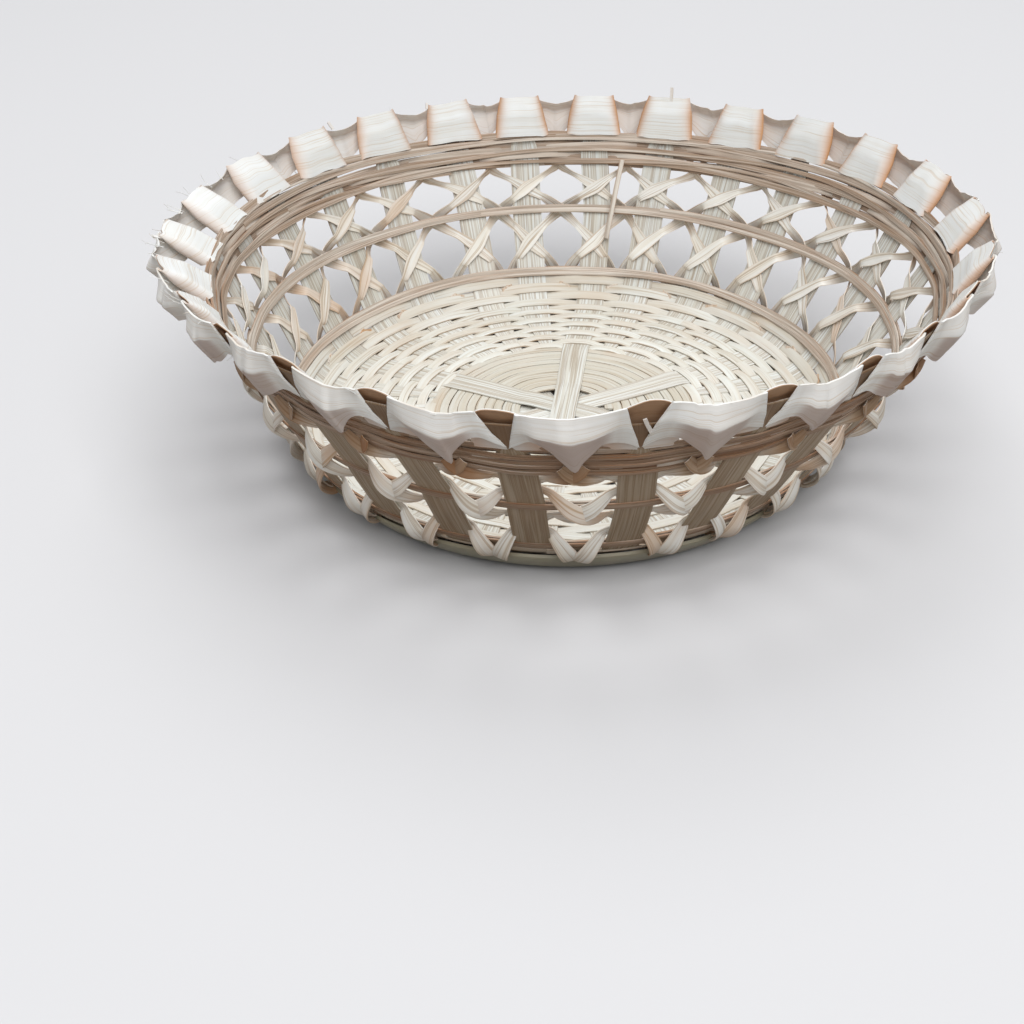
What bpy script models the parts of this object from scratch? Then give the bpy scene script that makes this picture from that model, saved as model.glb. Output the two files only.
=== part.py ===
"""Round openwork bowl basket of flat splints, modelled piece by piece.

Metres, +Z up. The origin is on the table, under the middle of the base, and the first stake runs
out along +X. Every piece is a thin splint that follows the woven body: its place is given by the
distance along the body from the middle of the base (along), by how far it lies outside the middle
of the stakes (layer), and by the stake or the gap that it passes.
"""

import math

import bmesh
import bpy
from mathutils import Matrix, Vector

COLLECTION_NAME = "splint_bowl_basket"

# Stakes: the flat ribs that run up the wall. The count gives the angle of one gap.
STAKE_COUNT = 26
STAKE_WIDTH = 0.010
STAKE_THICKNESS = 0.0007
STAKE_TIP_WIDTH = 0.003
STAKE_ABOVE_BAND = 0.008

# Six of the ribs are long splints that cross the whole base, three above and three below.
# Each list goes from the splint that lies next to the weaving to the outermost one.
UPPER_SPLINTS = (2, 11, 6)
LOWER_SPLINTS = (0, 4, 9)
SPLINT_CENTRE_WIDTH = 0.008
SPLINT_LAP_RADIUS = 0.010
SPLINT_RAMP = 0.005

# Body: flat floor, round corner and a wall that leans less towards the rim, at the middle of the stakes
FLOOR_LIFT = 0.00085
FLOOR_RADIUS = 0.0675
CORNER_RADIUS = 0.016
WALL_LEAN = math.radians(57.0)
WALL_CURVE_RADIUS = 0.28
CORNER_STEPS = 4
WALL_STEPS = 4

# Gap between splints that lie on each other, and room beside a stake where a strand turns
CLEARANCE = 0.0003
STRAND_TURN_ROOM = 0.0005

# Strands: the thin splints that are woven or laid round the basket
STRAND_THICKNESS = 0.0007
STRAND_SPACING = 0.0004

# Weaving of the base, from the middle out. The share says how much of the floor lies flat.
INNER_WEAVE_RADIUS = 0.0125
INNER_WEAVE_SHARE = 0.58
INNER_WEAVE_TURNS = 7
INNER_WEAVE_STEPS = 13
STAKE_DIVE = 0.0034
FLOOR_WEAVE_TURNS = 4
CORNER_WEAVE_TURNS = 3

# Hoops: two strands each, one inside and one outside the stakes
HOOP_HEIGHT = 0.0027
LOWER_HOOP_RISE = 0.0018
LOWER_ROW_HEIGHT = 0.024
UPPER_ROW_HEIGHT = 0.016

# Woven band above the open rows
BAND_ROWS = 3
BAND_ROW_PITCH = 0.0028

# Lacing: slanting splints that cross on every stake and on every hoop
LACING_WIDTH = 0.0045
LACING_NECK_WIDTH = 0.0014
LACING_THICKNESS = 0.0006
LACING_DROP = 0.0022
LACING_TURN_ROUNDING = 0.0015
LACING_TURN_SHARE = 0.1

# Border: a wide ribbon that passes inside each stake and stands out over each gap. The shares say
# how far each fold is from the stake, at the lower and at the upper edge, in gaps.
BORDER_WIDTH = 0.012
BORDER_THICKNESS = 0.0006
BORDER_BULGE = 0.0012
BORDER_REACH = 0.0048
BORDER_DIP = 0.0038
BORDER_TOP_DIP = 0.0026
BORDER_PANEL_SHARES = (0.32, 0.25)
BORDER_SHOULDER_SHARES = (0.39, 0.34)
BORDER_SHOULDER_REACH_SHARES = (0.5, 0.75)

# Foot: the smooth band that the basket stands on
FOOT_OUTSET = 0.0065
FOOT_FLAT = 0.0016
FOOT_THICKNESS = 0.0012
FOOT_CLEARANCE = 0.0007
FOOT_INNER_TURN = math.radians(18.0)
FOOT_OUTER_TURN = math.radians(31.0)
FOOT_STEPS = 40
MERGE_DISTANCE = 0.00001

# Finish of the splints
SPLINT_ROUGHNESS = 0.62
SKIN_ROUGHNESS = 0.38
SMOOTH_ANGLE = math.radians(40.0)
CREAM = (0.72, 0.56, 0.34, 1.0)
STRAW = (0.62, 0.44, 0.23, 1.0)
TAN = (0.50, 0.32, 0.16, 1.0)
PALE = (0.80, 0.68, 0.47, 1.0)
SKIN = (0.56, 0.56, 0.42, 1.0)

# Layers outside the middle of the stakes that follow from the thicknesses
STRAND_LAYER = (STAKE_THICKNESS + STRAND_THICKNESS) / 2 + CLEARANCE
SPLINT_STACK = STAKE_THICKNESS + CLEARANCE
LACING_STACK = LACING_THICKNESS + CLEARANCE
LACING_ON_STAKE = (STAKE_THICKNESS + LACING_THICKNESS) / 2 + CLEARANCE
LACING_ON_HOOP = STRAND_LAYER + (STRAND_THICKNESS + LACING_THICKNESS) / 2 + CLEARANCE
BORDER_ON_STAKE = (STAKE_THICKNESS + BORDER_THICKNESS) / 2 + CLEARANCE
FOOT_LAYER = STRAND_LAYER + STRAND_THICKNESS / 2 + FOOT_CLEARANCE

# Places along the body that follow from the sizes above
STAKE_ANGLE = 2 * math.pi / STAKE_COUNT
HALF_COUNT = STAKE_COUNT // 2
FLOOR_HEIGHT = FLOOR_LIFT + STAKE_THICKNESS / 2 + SPLINT_STACK * len(LOWER_SPLINTS)
WALL_FOOT = FLOOR_RADIUS + CORNER_RADIUS * WALL_LEAN
LOWER_HOOP = WALL_FOOT + LOWER_HOOP_RISE
MIDDLE_HOOP = LOWER_HOOP + LOWER_ROW_HEIGHT
BAND_FOOT = MIDDLE_HOOP + UPPER_ROW_HEIGHT
BAND_TOP = BAND_FOOT + BAND_ROWS * BAND_ROW_PITCH
STAKE_TOP = BAND_TOP + STAKE_ABOVE_BAND
INNER_WEAVE_END = FLOOR_RADIUS * INNER_WEAVE_SHARE
INNER_WEAVE_PITCH = (INNER_WEAVE_END - INNER_WEAVE_RADIUS) / INNER_WEAVE_TURNS
STAKE_TIP = INNER_WEAVE_END + STAKE_DIVE / 2
FLOOR_WEAVE_START = INNER_WEAVE_END + STAKE_DIVE
FLOOR_WEAVE_PITCH = (FLOOR_RADIUS - FLOOR_WEAVE_START) / (FLOOR_WEAVE_TURNS + 1)
CORNER_WEAVE_END = LOWER_HOOP - HOOP_HEIGHT / 2 - STRAND_SPACING
CORNER_WEAVE_PITCH = (CORNER_WEAVE_END - FLOOR_RADIUS) / (CORNER_WEAVE_TURNS + 1)


def clear_scene():
    """Take every object out of the scene."""
    for old in list(bpy.data.objects):
        bpy.data.objects.remove(old, do_unlink=True)


def outward_at(turn):
    """The outward direction of the body in the XZ plane, where it has turned up by an angle."""
    return Vector((math.sin(turn), 0.0, -math.cos(turn)))


def body_point(along, layer=0.0):
    """The point of the body in the XZ plane, its direction up the wall and its outward direction."""
    corner = min(max(along - FLOOR_RADIUS, 0.0) / CORNER_RADIUS, WALL_LEAN)
    turn = corner + max(along - WALL_FOOT, 0.0) / WALL_CURVE_RADIUS
    upward = Vector((math.cos(turn), 0.0, math.sin(turn)))
    outward = outward_at(turn)
    point = Vector((min(along, FLOOR_RADIUS), 0.0, FLOOR_HEIGHT + CORNER_RADIUS))
    point += outward_at(corner) * (CORNER_RADIUS - WALL_CURVE_RADIUS)
    point += outward * (WALL_CURVE_RADIUS + layer)
    return point, upward, outward


def turned(point, gaps):
    """The point turned about the basket's axis by a number of gaps."""
    return Matrix.Rotation(gaps * STAKE_ANGLE, 4, "Z") @ point


def on_stake(along, layer, sideways):
    """A point of the flat rib that runs out along +X. A negative place is on its far half."""
    point = body_point(abs(along), layer)[0]
    return Vector((math.copysign(point.x, along), sideways, point.z))


def stake_half_width(index, along):
    """Half the width of a rib, which narrows towards the middle of the base."""
    crossing = index % HALF_COUNT in UPPER_SPLINTS + LOWER_SPLINTS
    inner_width = SPLINT_CENTRE_WIDTH if crossing else STAKE_TIP_WIDTH
    inner_place = 0.0 if crossing else STAKE_TIP
    share = min((abs(along) - inner_place) / (FLOOR_RADIUS - inner_place), 1.0)
    return (inner_width + (STAKE_WIDTH - inner_width) * share) / 2


def ribbon_mesh(name, sections, closed=False):
    """An open ribbon through pairs of edge points, as one row of quads."""
    shape = bmesh.new()
    rails = [[shape.verts.new(point) for point in section] for section in sections]
    following = rails[1:] + (rails[:1] if closed else [])
    for (left, right), (next_left, next_right) in zip(rails, following):
        shape.faces.new((left, right, next_right, next_left))
    bmesh.ops.recalc_face_normals(shape, faces=shape.faces)
    mesh = bpy.data.meshes.new(name)
    shape.to_mesh(mesh)
    shape.free()
    mesh.shade_smooth()
    mesh.set_sharp_from_angle(angle=SMOOTH_ANGLE)
    return mesh


def splint_material(name, colour, roughness=SPLINT_ROUGHNESS):
    """A plain wood finish."""
    material = bpy.data.materials.new(name + "_finish")
    material.use_nodes = True
    shader = material.node_tree.nodes["Principled BSDF"]
    shader.inputs["Base Color"].default_value = colour
    shader.inputs["Roughness"].default_value = roughness
    shader.inputs["Metallic"].default_value = 0.0
    return material


class Basket:
    """The collection and the parent empty that every piece goes into."""

    def __init__(self):
        self.collection = bpy.data.collections.new(COLLECTION_NAME)
        bpy.context.scene.collection.children.link(self.collection)
        self.origin = bpy.data.objects.new("basket_origin", None)
        self.collection.objects.link(self.origin)

    def add(self, name, mesh, colour, gaps=0, roughness=SPLINT_ROUGHNESS):
        """One piece, turned about the axis by a number of gaps, with a finish of its own."""
        piece = bpy.data.objects.new(name, mesh)
        self.collection.objects.link(piece)
        piece.parent = self.origin
        piece.rotation_euler.z = gaps * STAKE_ANGLE
        if not mesh.materials:
            mesh.materials.append(None)
        piece.material_slots[0].link = "OBJECT"
        piece.material_slots[0].material = splint_material(name, colour, roughness)
        return piece

    def add_splint(self, name, mesh, thickness, colour, gaps=0):
        """One piece cut from a splint: a ribbon with its thickness to both sides."""
        piece = self.add(name, mesh, colour, gaps)
        wall = piece.modifiers.new("Thickness", "SOLIDIFY")
        wall.thickness = thickness
        wall.offset = 0.0
        return piece


def wall_places():
    """Places along a rib from the edge of the floor to its top, round the corner and up the wall."""
    corner = [
        FLOOR_RADIUS + CORNER_RADIUS * WALL_LEAN * step / CORNER_STEPS
        for step in range(CORNER_STEPS + 1)
    ]
    wall = [
        WALL_FOOT + (STAKE_TOP - WALL_FOOT) * step / WALL_STEPS for step in range(1, WALL_STEPS + 1)
    ]
    return corner + wall


def rib_section(index, along, layer):
    """The two edge points of a rib at one place along it."""
    half_width = stake_half_width(index, along)
    return on_stake(along, layer, -half_width), on_stake(along, layer, half_width)


def through_splint_mesh(name, index, side, level):
    """A splint that crosses the base. It lies over or under the inner weaving, and in its stack."""
    outer_layer = side * SPLINT_STACK
    middle_layer = side * SPLINT_STACK * level
    ramp_end = SPLINT_LAP_RADIUS + SPLINT_RAMP * (level - 1)
    places = [(SPLINT_LAP_RADIUS, middle_layer)]
    if level > 1:
        places.append((ramp_end, outer_layer))
    places += [(INNER_WEAVE_END, outer_layer), (FLOOR_WEAVE_START, 0.0)]
    places += [(along, 0.0) for along in wall_places()]
    far_half = [(-along, layer) for along, layer in reversed(places)]
    return ribbon_mesh(name, [rib_section(index, along, layer) for along, layer in far_half + places])


def build_ribs(basket):
    """The six splints that cross the base and the stakes that are set in between them."""
    for word, indices, side in (("upper", UPPER_SPLINTS, -1), ("lower", LOWER_SPLINTS, 1)):
        for number, index in enumerate(indices, start=1):
            name = f"through_splint_{word}_{number}"
            mesh = through_splint_mesh(name, index, side, number)
            basket.add_splint(name, mesh, STAKE_THICKNESS, CREAM, gaps=index)
    crossing = [index % HALF_COUNT for index in UPPER_SPLINTS + LOWER_SPLINTS]
    inserted = [index for index in range(STAKE_COUNT) if index % HALF_COUNT not in crossing]
    places = [STAKE_TIP] + wall_places()
    sections = [rib_section(inserted[0], along, 0.0) for along in places]
    mesh = ribbon_mesh("stake", sections)
    for number, index in enumerate(inserted, start=1):
        basket.add_splint(f"stake_{number:02d}", mesh, STAKE_THICKNESS, CREAM, gaps=index)


def strand_sections(place_of, layer_of, width, crossings):
    """Edge points of a strand that passes stakes, with a turn at each side of each stake."""
    sections = []
    for crossing in range(crossings):
        index = crossing % STAKE_COUNT
        for side in (-1, 1):
            along = place_of(crossing + side / 4)
            sideways = side * (stake_half_width(index, along) + STRAND_TURN_ROOM)
            layer = layer_of(crossing)
            edges = [on_stake(along + half, layer, sideways) for half in (-width / 2, width / 2)]
            sections.append([turned(point, index) for point in edges])
    return sections


def spiral_weave(basket, name, start, pitch, turns, colour):
    """A strand that is woven out in a spiral. Each row passes every stake on the other side."""
    def place_of(crossing):
        return start + pitch / 2 + pitch * crossing / STAKE_COUNT

    def layer_of(crossing):
        row, index = divmod(crossing, STAKE_COUNT)
        return STRAND_LAYER if (row + index) % 2 else -STRAND_LAYER

    sections = strand_sections(place_of, layer_of, pitch - STRAND_SPACING, turns * STAKE_COUNT)
    basket.add_splint(name, ribbon_mesh(name, sections), STRAND_THICKNESS, colour)


def build_base_weaving(basket):
    """The flat spiral between the crossing splints, and the woven floor and corner round it."""
    sections = []
    for step in range((INNER_WEAVE_TURNS - 1) * INNER_WEAVE_STEPS + 1):
        turns = step / INNER_WEAVE_STEPS
        inner_edge = INNER_WEAVE_RADIUS + INNER_WEAVE_PITCH * turns
        outer_edge = inner_edge + INNER_WEAVE_PITCH - STRAND_SPACING
        edges = [body_point(along)[0] for along in (inner_edge, outer_edge)]
        sections.append([turned(point, turns * STAKE_COUNT) for point in edges])
    mesh = ribbon_mesh("base_weaver_inner", sections)
    basket.add_splint("base_weaver_inner", mesh, STRAND_THICKNESS, PALE)
    spiral_weave(
        basket, "base_weaver_floor", FLOOR_WEAVE_START, FLOOR_WEAVE_PITCH, FLOOR_WEAVE_TURNS, PALE
    )
    spiral_weave(
        basket, "base_weaver_corner", FLOOR_RADIUS, CORNER_WEAVE_PITCH, CORNER_WEAVE_TURNS, STRAW
    )


def build_hoop(basket, name, place):
    """The inside and the outside strand of one hoop."""
    for word, layer in (("inner", -STRAND_LAYER), ("outer", STRAND_LAYER)):
        sections = strand_sections(lambda _: place, lambda _: layer, HOOP_HEIGHT, STAKE_COUNT)
        mesh = ribbon_mesh(f"{name}_{word}", sections, closed=True)
        basket.add_splint(f"{name}_{word}", mesh, STRAND_THICKNESS, TAN)


def build_band(basket):
    """The woven rows above the open wall, each one passing the stakes on the other side."""
    for row in range(BAND_ROWS):
        place = BAND_FOOT + BAND_ROW_PITCH * (row + 0.5)
        sections = strand_sections(
            lambda _: place,
            lambda crossing: STRAND_LAYER if (row + crossing) % 2 else -STRAND_LAYER,
            BAND_ROW_PITCH - STRAND_SPACING,
            STAKE_COUNT,
        )
        name = f"upper_band_row_{row + 1}"
        basket.add_splint(name, ribbon_mesh(name, sections, closed=True), STRAND_THICKNESS, STRAW)


def lacing_slope():
    """Rise per gap of a lacing strip near its turn, so that it crosses a stake halfway up the row."""
    rise = LOWER_ROW_HEIGHT / 2 + LACING_DROP + LACING_TURN_ROUNDING
    return 2 * math.sqrt(rise**2 - LACING_TURN_ROUNDING**2)


def lacing_place(gaps):
    """Where along the body a lacing strip is, a number of gaps from its turn under the lower hoop."""
    if gaps < 0.5:
        curve = math.hypot(lacing_slope() * gaps, LACING_TURN_ROUNDING)
        return LOWER_HOOP - LACING_DROP - LACING_TURN_ROUNDING + curve
    if gaps < 1:
        return LOWER_HOOP + LOWER_ROW_HEIGHT * gaps
    return MIDDLE_HOOP + (UPPER_ROW_HEIGHT + BAND_ROW_PITCH / 2) * (gaps - 1)


def gaps_beside_stake(along):
    """How far from a stake's middle a strip's neck is clear of the stake, in gaps."""
    reach = (STAKE_WIDTH + LACING_NECK_WIDTH) / 2 + CLEARANCE
    return reach / (body_point(along)[0].x * STAKE_ANGLE)


def lacing_stations():
    """(gaps, width, inside) from the turn to the upper end of one leg of a lacing strip."""
    neck = LACING_NECK_WIDTH
    hoop_reach = (HOOP_HEIGHT + neck) / 2 + CLEARANCE
    rise = LACING_DROP + LACING_TURN_ROUNDING + hoop_reach
    leave_lower = math.sqrt(rise**2 - LACING_TURN_ROUNDING**2) / lacing_slope()
    reach_middle = 1 - hoop_reach / LOWER_ROW_HEIGHT
    upper_rise = UPPER_ROW_HEIGHT + BAND_ROW_PITCH / 2
    leave_middle = 1 + hoop_reach / upper_rise
    reach_band = 1 + (UPPER_ROW_HEIGHT - neck / 2 - CLEARANCE) / upper_rise
    lower_room = gaps_beside_stake(LOWER_HOOP)
    row_room = gaps_beside_stake(MIDDLE_HOOP - LOWER_ROW_HEIGHT / 2)
    upper_room = gaps_beside_stake(MIDDLE_HOOP)
    return [
        (0.0, LACING_WIDTH, False),
        (LACING_TURN_SHARE, LACING_WIDTH, False),
        (leave_lower, neck, False),
        (0.5 - lower_room, neck, True),
        (0.5, LACING_WIDTH, True),
        (0.5 + row_room, neck, True),
        (reach_middle, neck, False),
        (1.0, LACING_WIDTH, False),
        (leave_middle, neck, False),
        (1.5 - upper_room, neck, True),
        (1.5, LACING_WIDTH, True),
        (1.5 + upper_room, neck, True),
        (reach_band, neck, False),
        (2.0, LACING_WIDTH, False),
    ]


def lacing_section(gaps, width, inside, side):
    """Edge points of a lacing strip. Side -1 is the leg that comes down, 1 the leg that goes up."""
    stack = LACING_STACK if side < 0 else 0.0
    layer = -LACING_ON_STAKE - stack if inside else LACING_ON_HOOP + stack
    if gaps == 0:
        layer = LACING_ON_HOOP + LACING_STACK / 2
    along = lacing_place(gaps)
    point, upward, _ = body_point(along, layer)
    ahead = min(gaps + LACING_TURN_SHARE / 2, 2.0)
    behind = max(gaps - LACING_TURN_SHARE / 2, 0.0)
    rise = lacing_place(ahead) - lacing_place(behind) if gaps else 0.0
    run = (ahead - behind) * STAKE_ANGLE * point.x
    across = Vector((0.0, -side * rise, 0.0)) + upward * run
    across.normalize()
    return [turned(point + across * width * half, side * gaps) for half in (-0.5, 0.5)]


def build_lacing(basket):
    """One strip for each gap: down two rows, round under the lower hoop and up two rows."""
    stations = lacing_stations()
    sections = [lacing_section(*station, -1) for station in reversed(stations[1:])]
    sections += [lacing_section(*station, 1) for station in stations]
    mesh = ribbon_mesh("lacing_strip", sections)
    for number in range(STAKE_COUNT):
        name = f"lacing_strip_{number + 1:02d}"
        basket.add_splint(name, mesh, LACING_THICKNESS, PALE, gaps=number + 0.5)


def border_stations():
    """(gaps, along, layer) of the lower and of the upper edge, from a stake to the next one."""
    foot = BAND_TOP + CLEARANCE
    top = foot + BORDER_WIDTH
    inside = -BORDER_ON_STAKE
    lower_panel, upper_panel = BORDER_PANEL_SHARES
    lower_shoulder, upper_shoulder = BORDER_SHOULDER_SHARES
    lower_reach, upper_reach = (BORDER_REACH * share for share in BORDER_SHOULDER_REACH_SHARES)
    shoulder_top = top - BORDER_TOP_DIP / 2
    return [
        ((0.0, foot, inside - BORDER_BULGE / 2), (0.0, top, inside - BORDER_BULGE)),
        ((lower_panel, foot, inside), (upper_panel, top, inside - BORDER_BULGE / 2)),
        ((lower_shoulder, foot, lower_reach), (upper_shoulder, shoulder_top, upper_reach)),
        ((0.5, foot - BORDER_DIP, BORDER_REACH), (0.5, top - BORDER_TOP_DIP, BORDER_REACH)),
        ((1 - lower_shoulder, foot, lower_reach), (1 - upper_shoulder, shoulder_top, upper_reach)),
        ((1 - lower_panel, foot, inside), (1 - upper_panel, top, inside - BORDER_BULGE / 2)),
    ]


def build_border(basket):
    """The ribbon that closes the rim: panels inside the stakes, folds that stand out between them."""
    sections = []
    for index in range(STAKE_COUNT):
        for station in border_stations():
            sections.append(
                [turned(body_point(along, layer)[0], index + gaps) for gaps, along, layer in station]
            )
    mesh = ribbon_mesh("border_ribbon", sections, closed=True)
    basket.add_splint("border_ribbon", mesh, BORDER_THICKNESS, CREAM)


def build_foot(basket):
    """The turned band under the corner of the base, with the flat ring that the basket rests on."""
    turn_reach = LOWER_HOOP - LACING_DROP - LACING_WIDTH / 2 - 2 * CLEARANCE
    outer_layer = FOOT_LAYER + FOOT_THICKNESS
    inner_place = FLOOR_RADIUS + CORNER_RADIUS * FOOT_INNER_TURN
    outer_place = FLOOR_RADIUS + CORNER_RADIUS * FOOT_OUTER_TURN
    profile = [
        body_point(turn_reach, outer_layer)[0],
        body_point(outer_place, outer_layer)[0],
        Vector((FLOOR_RADIUS + FOOT_OUTSET, 0.0, 0.0)),
        Vector((FLOOR_RADIUS + FOOT_OUTSET - FOOT_FLAT, 0.0, 0.0)),
        body_point(inner_place, FOOT_LAYER)[0],
        body_point(outer_place, FOOT_LAYER)[0],
        body_point(turn_reach, FOOT_LAYER)[0],
    ]
    shape = bmesh.new()
    corners = [shape.verts.new(point) for point in profile]
    for start, end in zip(corners, corners[1:] + corners[:1]):
        shape.edges.new((start, end))
    mesh = bpy.data.meshes.new("foot_band")
    shape.to_mesh(mesh)
    shape.free()
    foot = basket.add("foot_band", mesh, SKIN, roughness=SKIN_ROUGHNESS)
    turning = foot.modifiers.new("Turning", "SCREW")
    turning.axis = "Z"
    turning.steps = FOOT_STEPS
    turning.render_steps = FOOT_STEPS
    turning.use_merge_vertices = True
    turning.merge_threshold = MERGE_DISTANCE
    turning.use_smooth_shade = True


def main():
    """Build the whole basket."""
    clear_scene()
    basket = Basket()
    build_ribs(basket)
    build_base_weaving(basket)
    build_hoop(basket, "lower_hoop", LOWER_HOOP)
    build_hoop(basket, "middle_hoop", MIDDLE_HOOP)
    build_band(basket)
    build_lacing(basket)
    build_border(basket)
    build_foot(basket)


main()
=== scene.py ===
"""Looks of the openwork splint bowl basket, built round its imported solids.

Every splint is swept by one Geometry Nodes tree along a path that is worked out here. A path is told
by three numbers: gaps (how many stakes it has passed round the basket), along (how far it is from the
middle of the base, measured on the body) and layer (how far it lies outside the middle of the stakes).
Metres, +Z up, the first stake runs out along +X.
"""

from __future__ import annotations

import logging
import math
from dataclasses import dataclass, field
from enum import Enum

import bmesh
import bpy
import numpy as np
from mathutils import Matrix, Vector

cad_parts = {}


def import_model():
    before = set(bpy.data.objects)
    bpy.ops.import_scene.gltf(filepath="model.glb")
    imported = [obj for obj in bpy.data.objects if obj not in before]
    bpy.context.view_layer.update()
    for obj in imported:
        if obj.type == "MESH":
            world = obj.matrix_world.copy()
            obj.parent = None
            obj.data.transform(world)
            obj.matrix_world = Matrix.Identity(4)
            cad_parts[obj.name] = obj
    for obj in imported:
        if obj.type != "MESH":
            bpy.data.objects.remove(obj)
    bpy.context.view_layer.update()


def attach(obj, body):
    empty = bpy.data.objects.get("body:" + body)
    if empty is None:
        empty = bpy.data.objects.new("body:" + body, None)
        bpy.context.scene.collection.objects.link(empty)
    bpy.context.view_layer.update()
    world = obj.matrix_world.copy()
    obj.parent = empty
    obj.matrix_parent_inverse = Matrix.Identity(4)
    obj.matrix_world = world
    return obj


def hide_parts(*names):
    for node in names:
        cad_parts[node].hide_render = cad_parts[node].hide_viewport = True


Socket = bpy.types.NodeSocket
Generator = np.random.Generator
Table = tuple[tuple[float, ...], ...]

LOG = logging.getLogger("basket")
MM = 0.001
SEED = 26
WOOD_LENGTH = 40.0
SHARP_ANGLE = math.radians(50.0)
FULL_TURN = 2 * math.pi


class Slot(Enum):
    """Material slots of the record."""

    STAKE = "stake_splint"
    WEAVER = "weaving_strand"
    HOOP = "hoop_strand"
    LACING = "lacing_splint"
    BORDER = "border_splint"
    FOOT = "foot_skin"


class Layout(Enum):
    """How the points of one path are joined."""

    OPEN = "open"
    CLOSED = "closed"


def spread(rng: Generator, size: float, count: int | tuple[int, int] | None = None) -> np.ndarray | float:
    """Random numbers from minus size to size."""
    return rng.uniform(-size, size, count)


def bell(away: np.ndarray | float, reach: float) -> np.ndarray | float:
    """1 in the middle, falling smoothly to both sides and small beyond the reach."""
    return np.exp(-((away / reach) ** 2))


def share_of(value: np.ndarray | float, start: float, length: float) -> np.ndarray | float:
    """How far the value has come from the start over the length, from 0 to 1."""
    return np.clip((value - start) / length, 0, 1)


def eased(keys: np.ndarray, values: np.ndarray, at: np.ndarray) -> np.ndarray:
    """A smooth curve through key values.

    Args:
        keys: Rising places of the keys.
        values: One value, or one row of values, for each key.
        at: Places to read.

    Returns:
        The values at those places, on cubic arcs whose slopes come from the neighbouring keys.
    """
    keys = np.asarray(keys, float)
    values = np.asarray(values, float)
    flat = values.ndim == 1
    rows = values[:, None] if flat else values
    slopes = np.gradient(rows, keys, axis=0)
    index = np.clip(np.searchsorted(keys, at, side="right") - 1, 0, len(keys) - 2)
    step = (keys[index + 1] - keys[index])[:, None]
    share = ((at - keys[index]) / (keys[index + 1] - keys[index]))[:, None]
    square, cube = share**2, share**3
    result = (
        (2 * cube - 3 * square + 1) * rows[index]
        + (cube - 2 * square + share) * step * slopes[index]
        + (3 * square - 2 * cube) * rows[index + 1]
        + (cube - square) * step * slopes[index + 1]
    )
    return result[:, 0] if flat else result


def unit(vectors: np.ndarray) -> np.ndarray:
    """The vectors at length one."""
    return vectors / np.maximum(np.linalg.norm(vectors, axis=-1, keepdims=True), 1e-12)


def wander(rng: Generator, at: np.ndarray, size: float, period: float) -> np.ndarray:
    """A slow random drift along a path.

    Args:
        rng: The random source.
        at: Places along the path.
        size: Its largest value.
        period: About how far apart its waves are.

    Returns:
        One value for each place.
    """
    total = np.zeros_like(at, dtype=float)
    for octave, weight in ((1.0, 0.6), (2.3, 0.4)):
        total += weight * np.sin(at * octave * FULL_TURN / period + rng.uniform(0, FULL_TURN))
    return total * size


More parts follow.
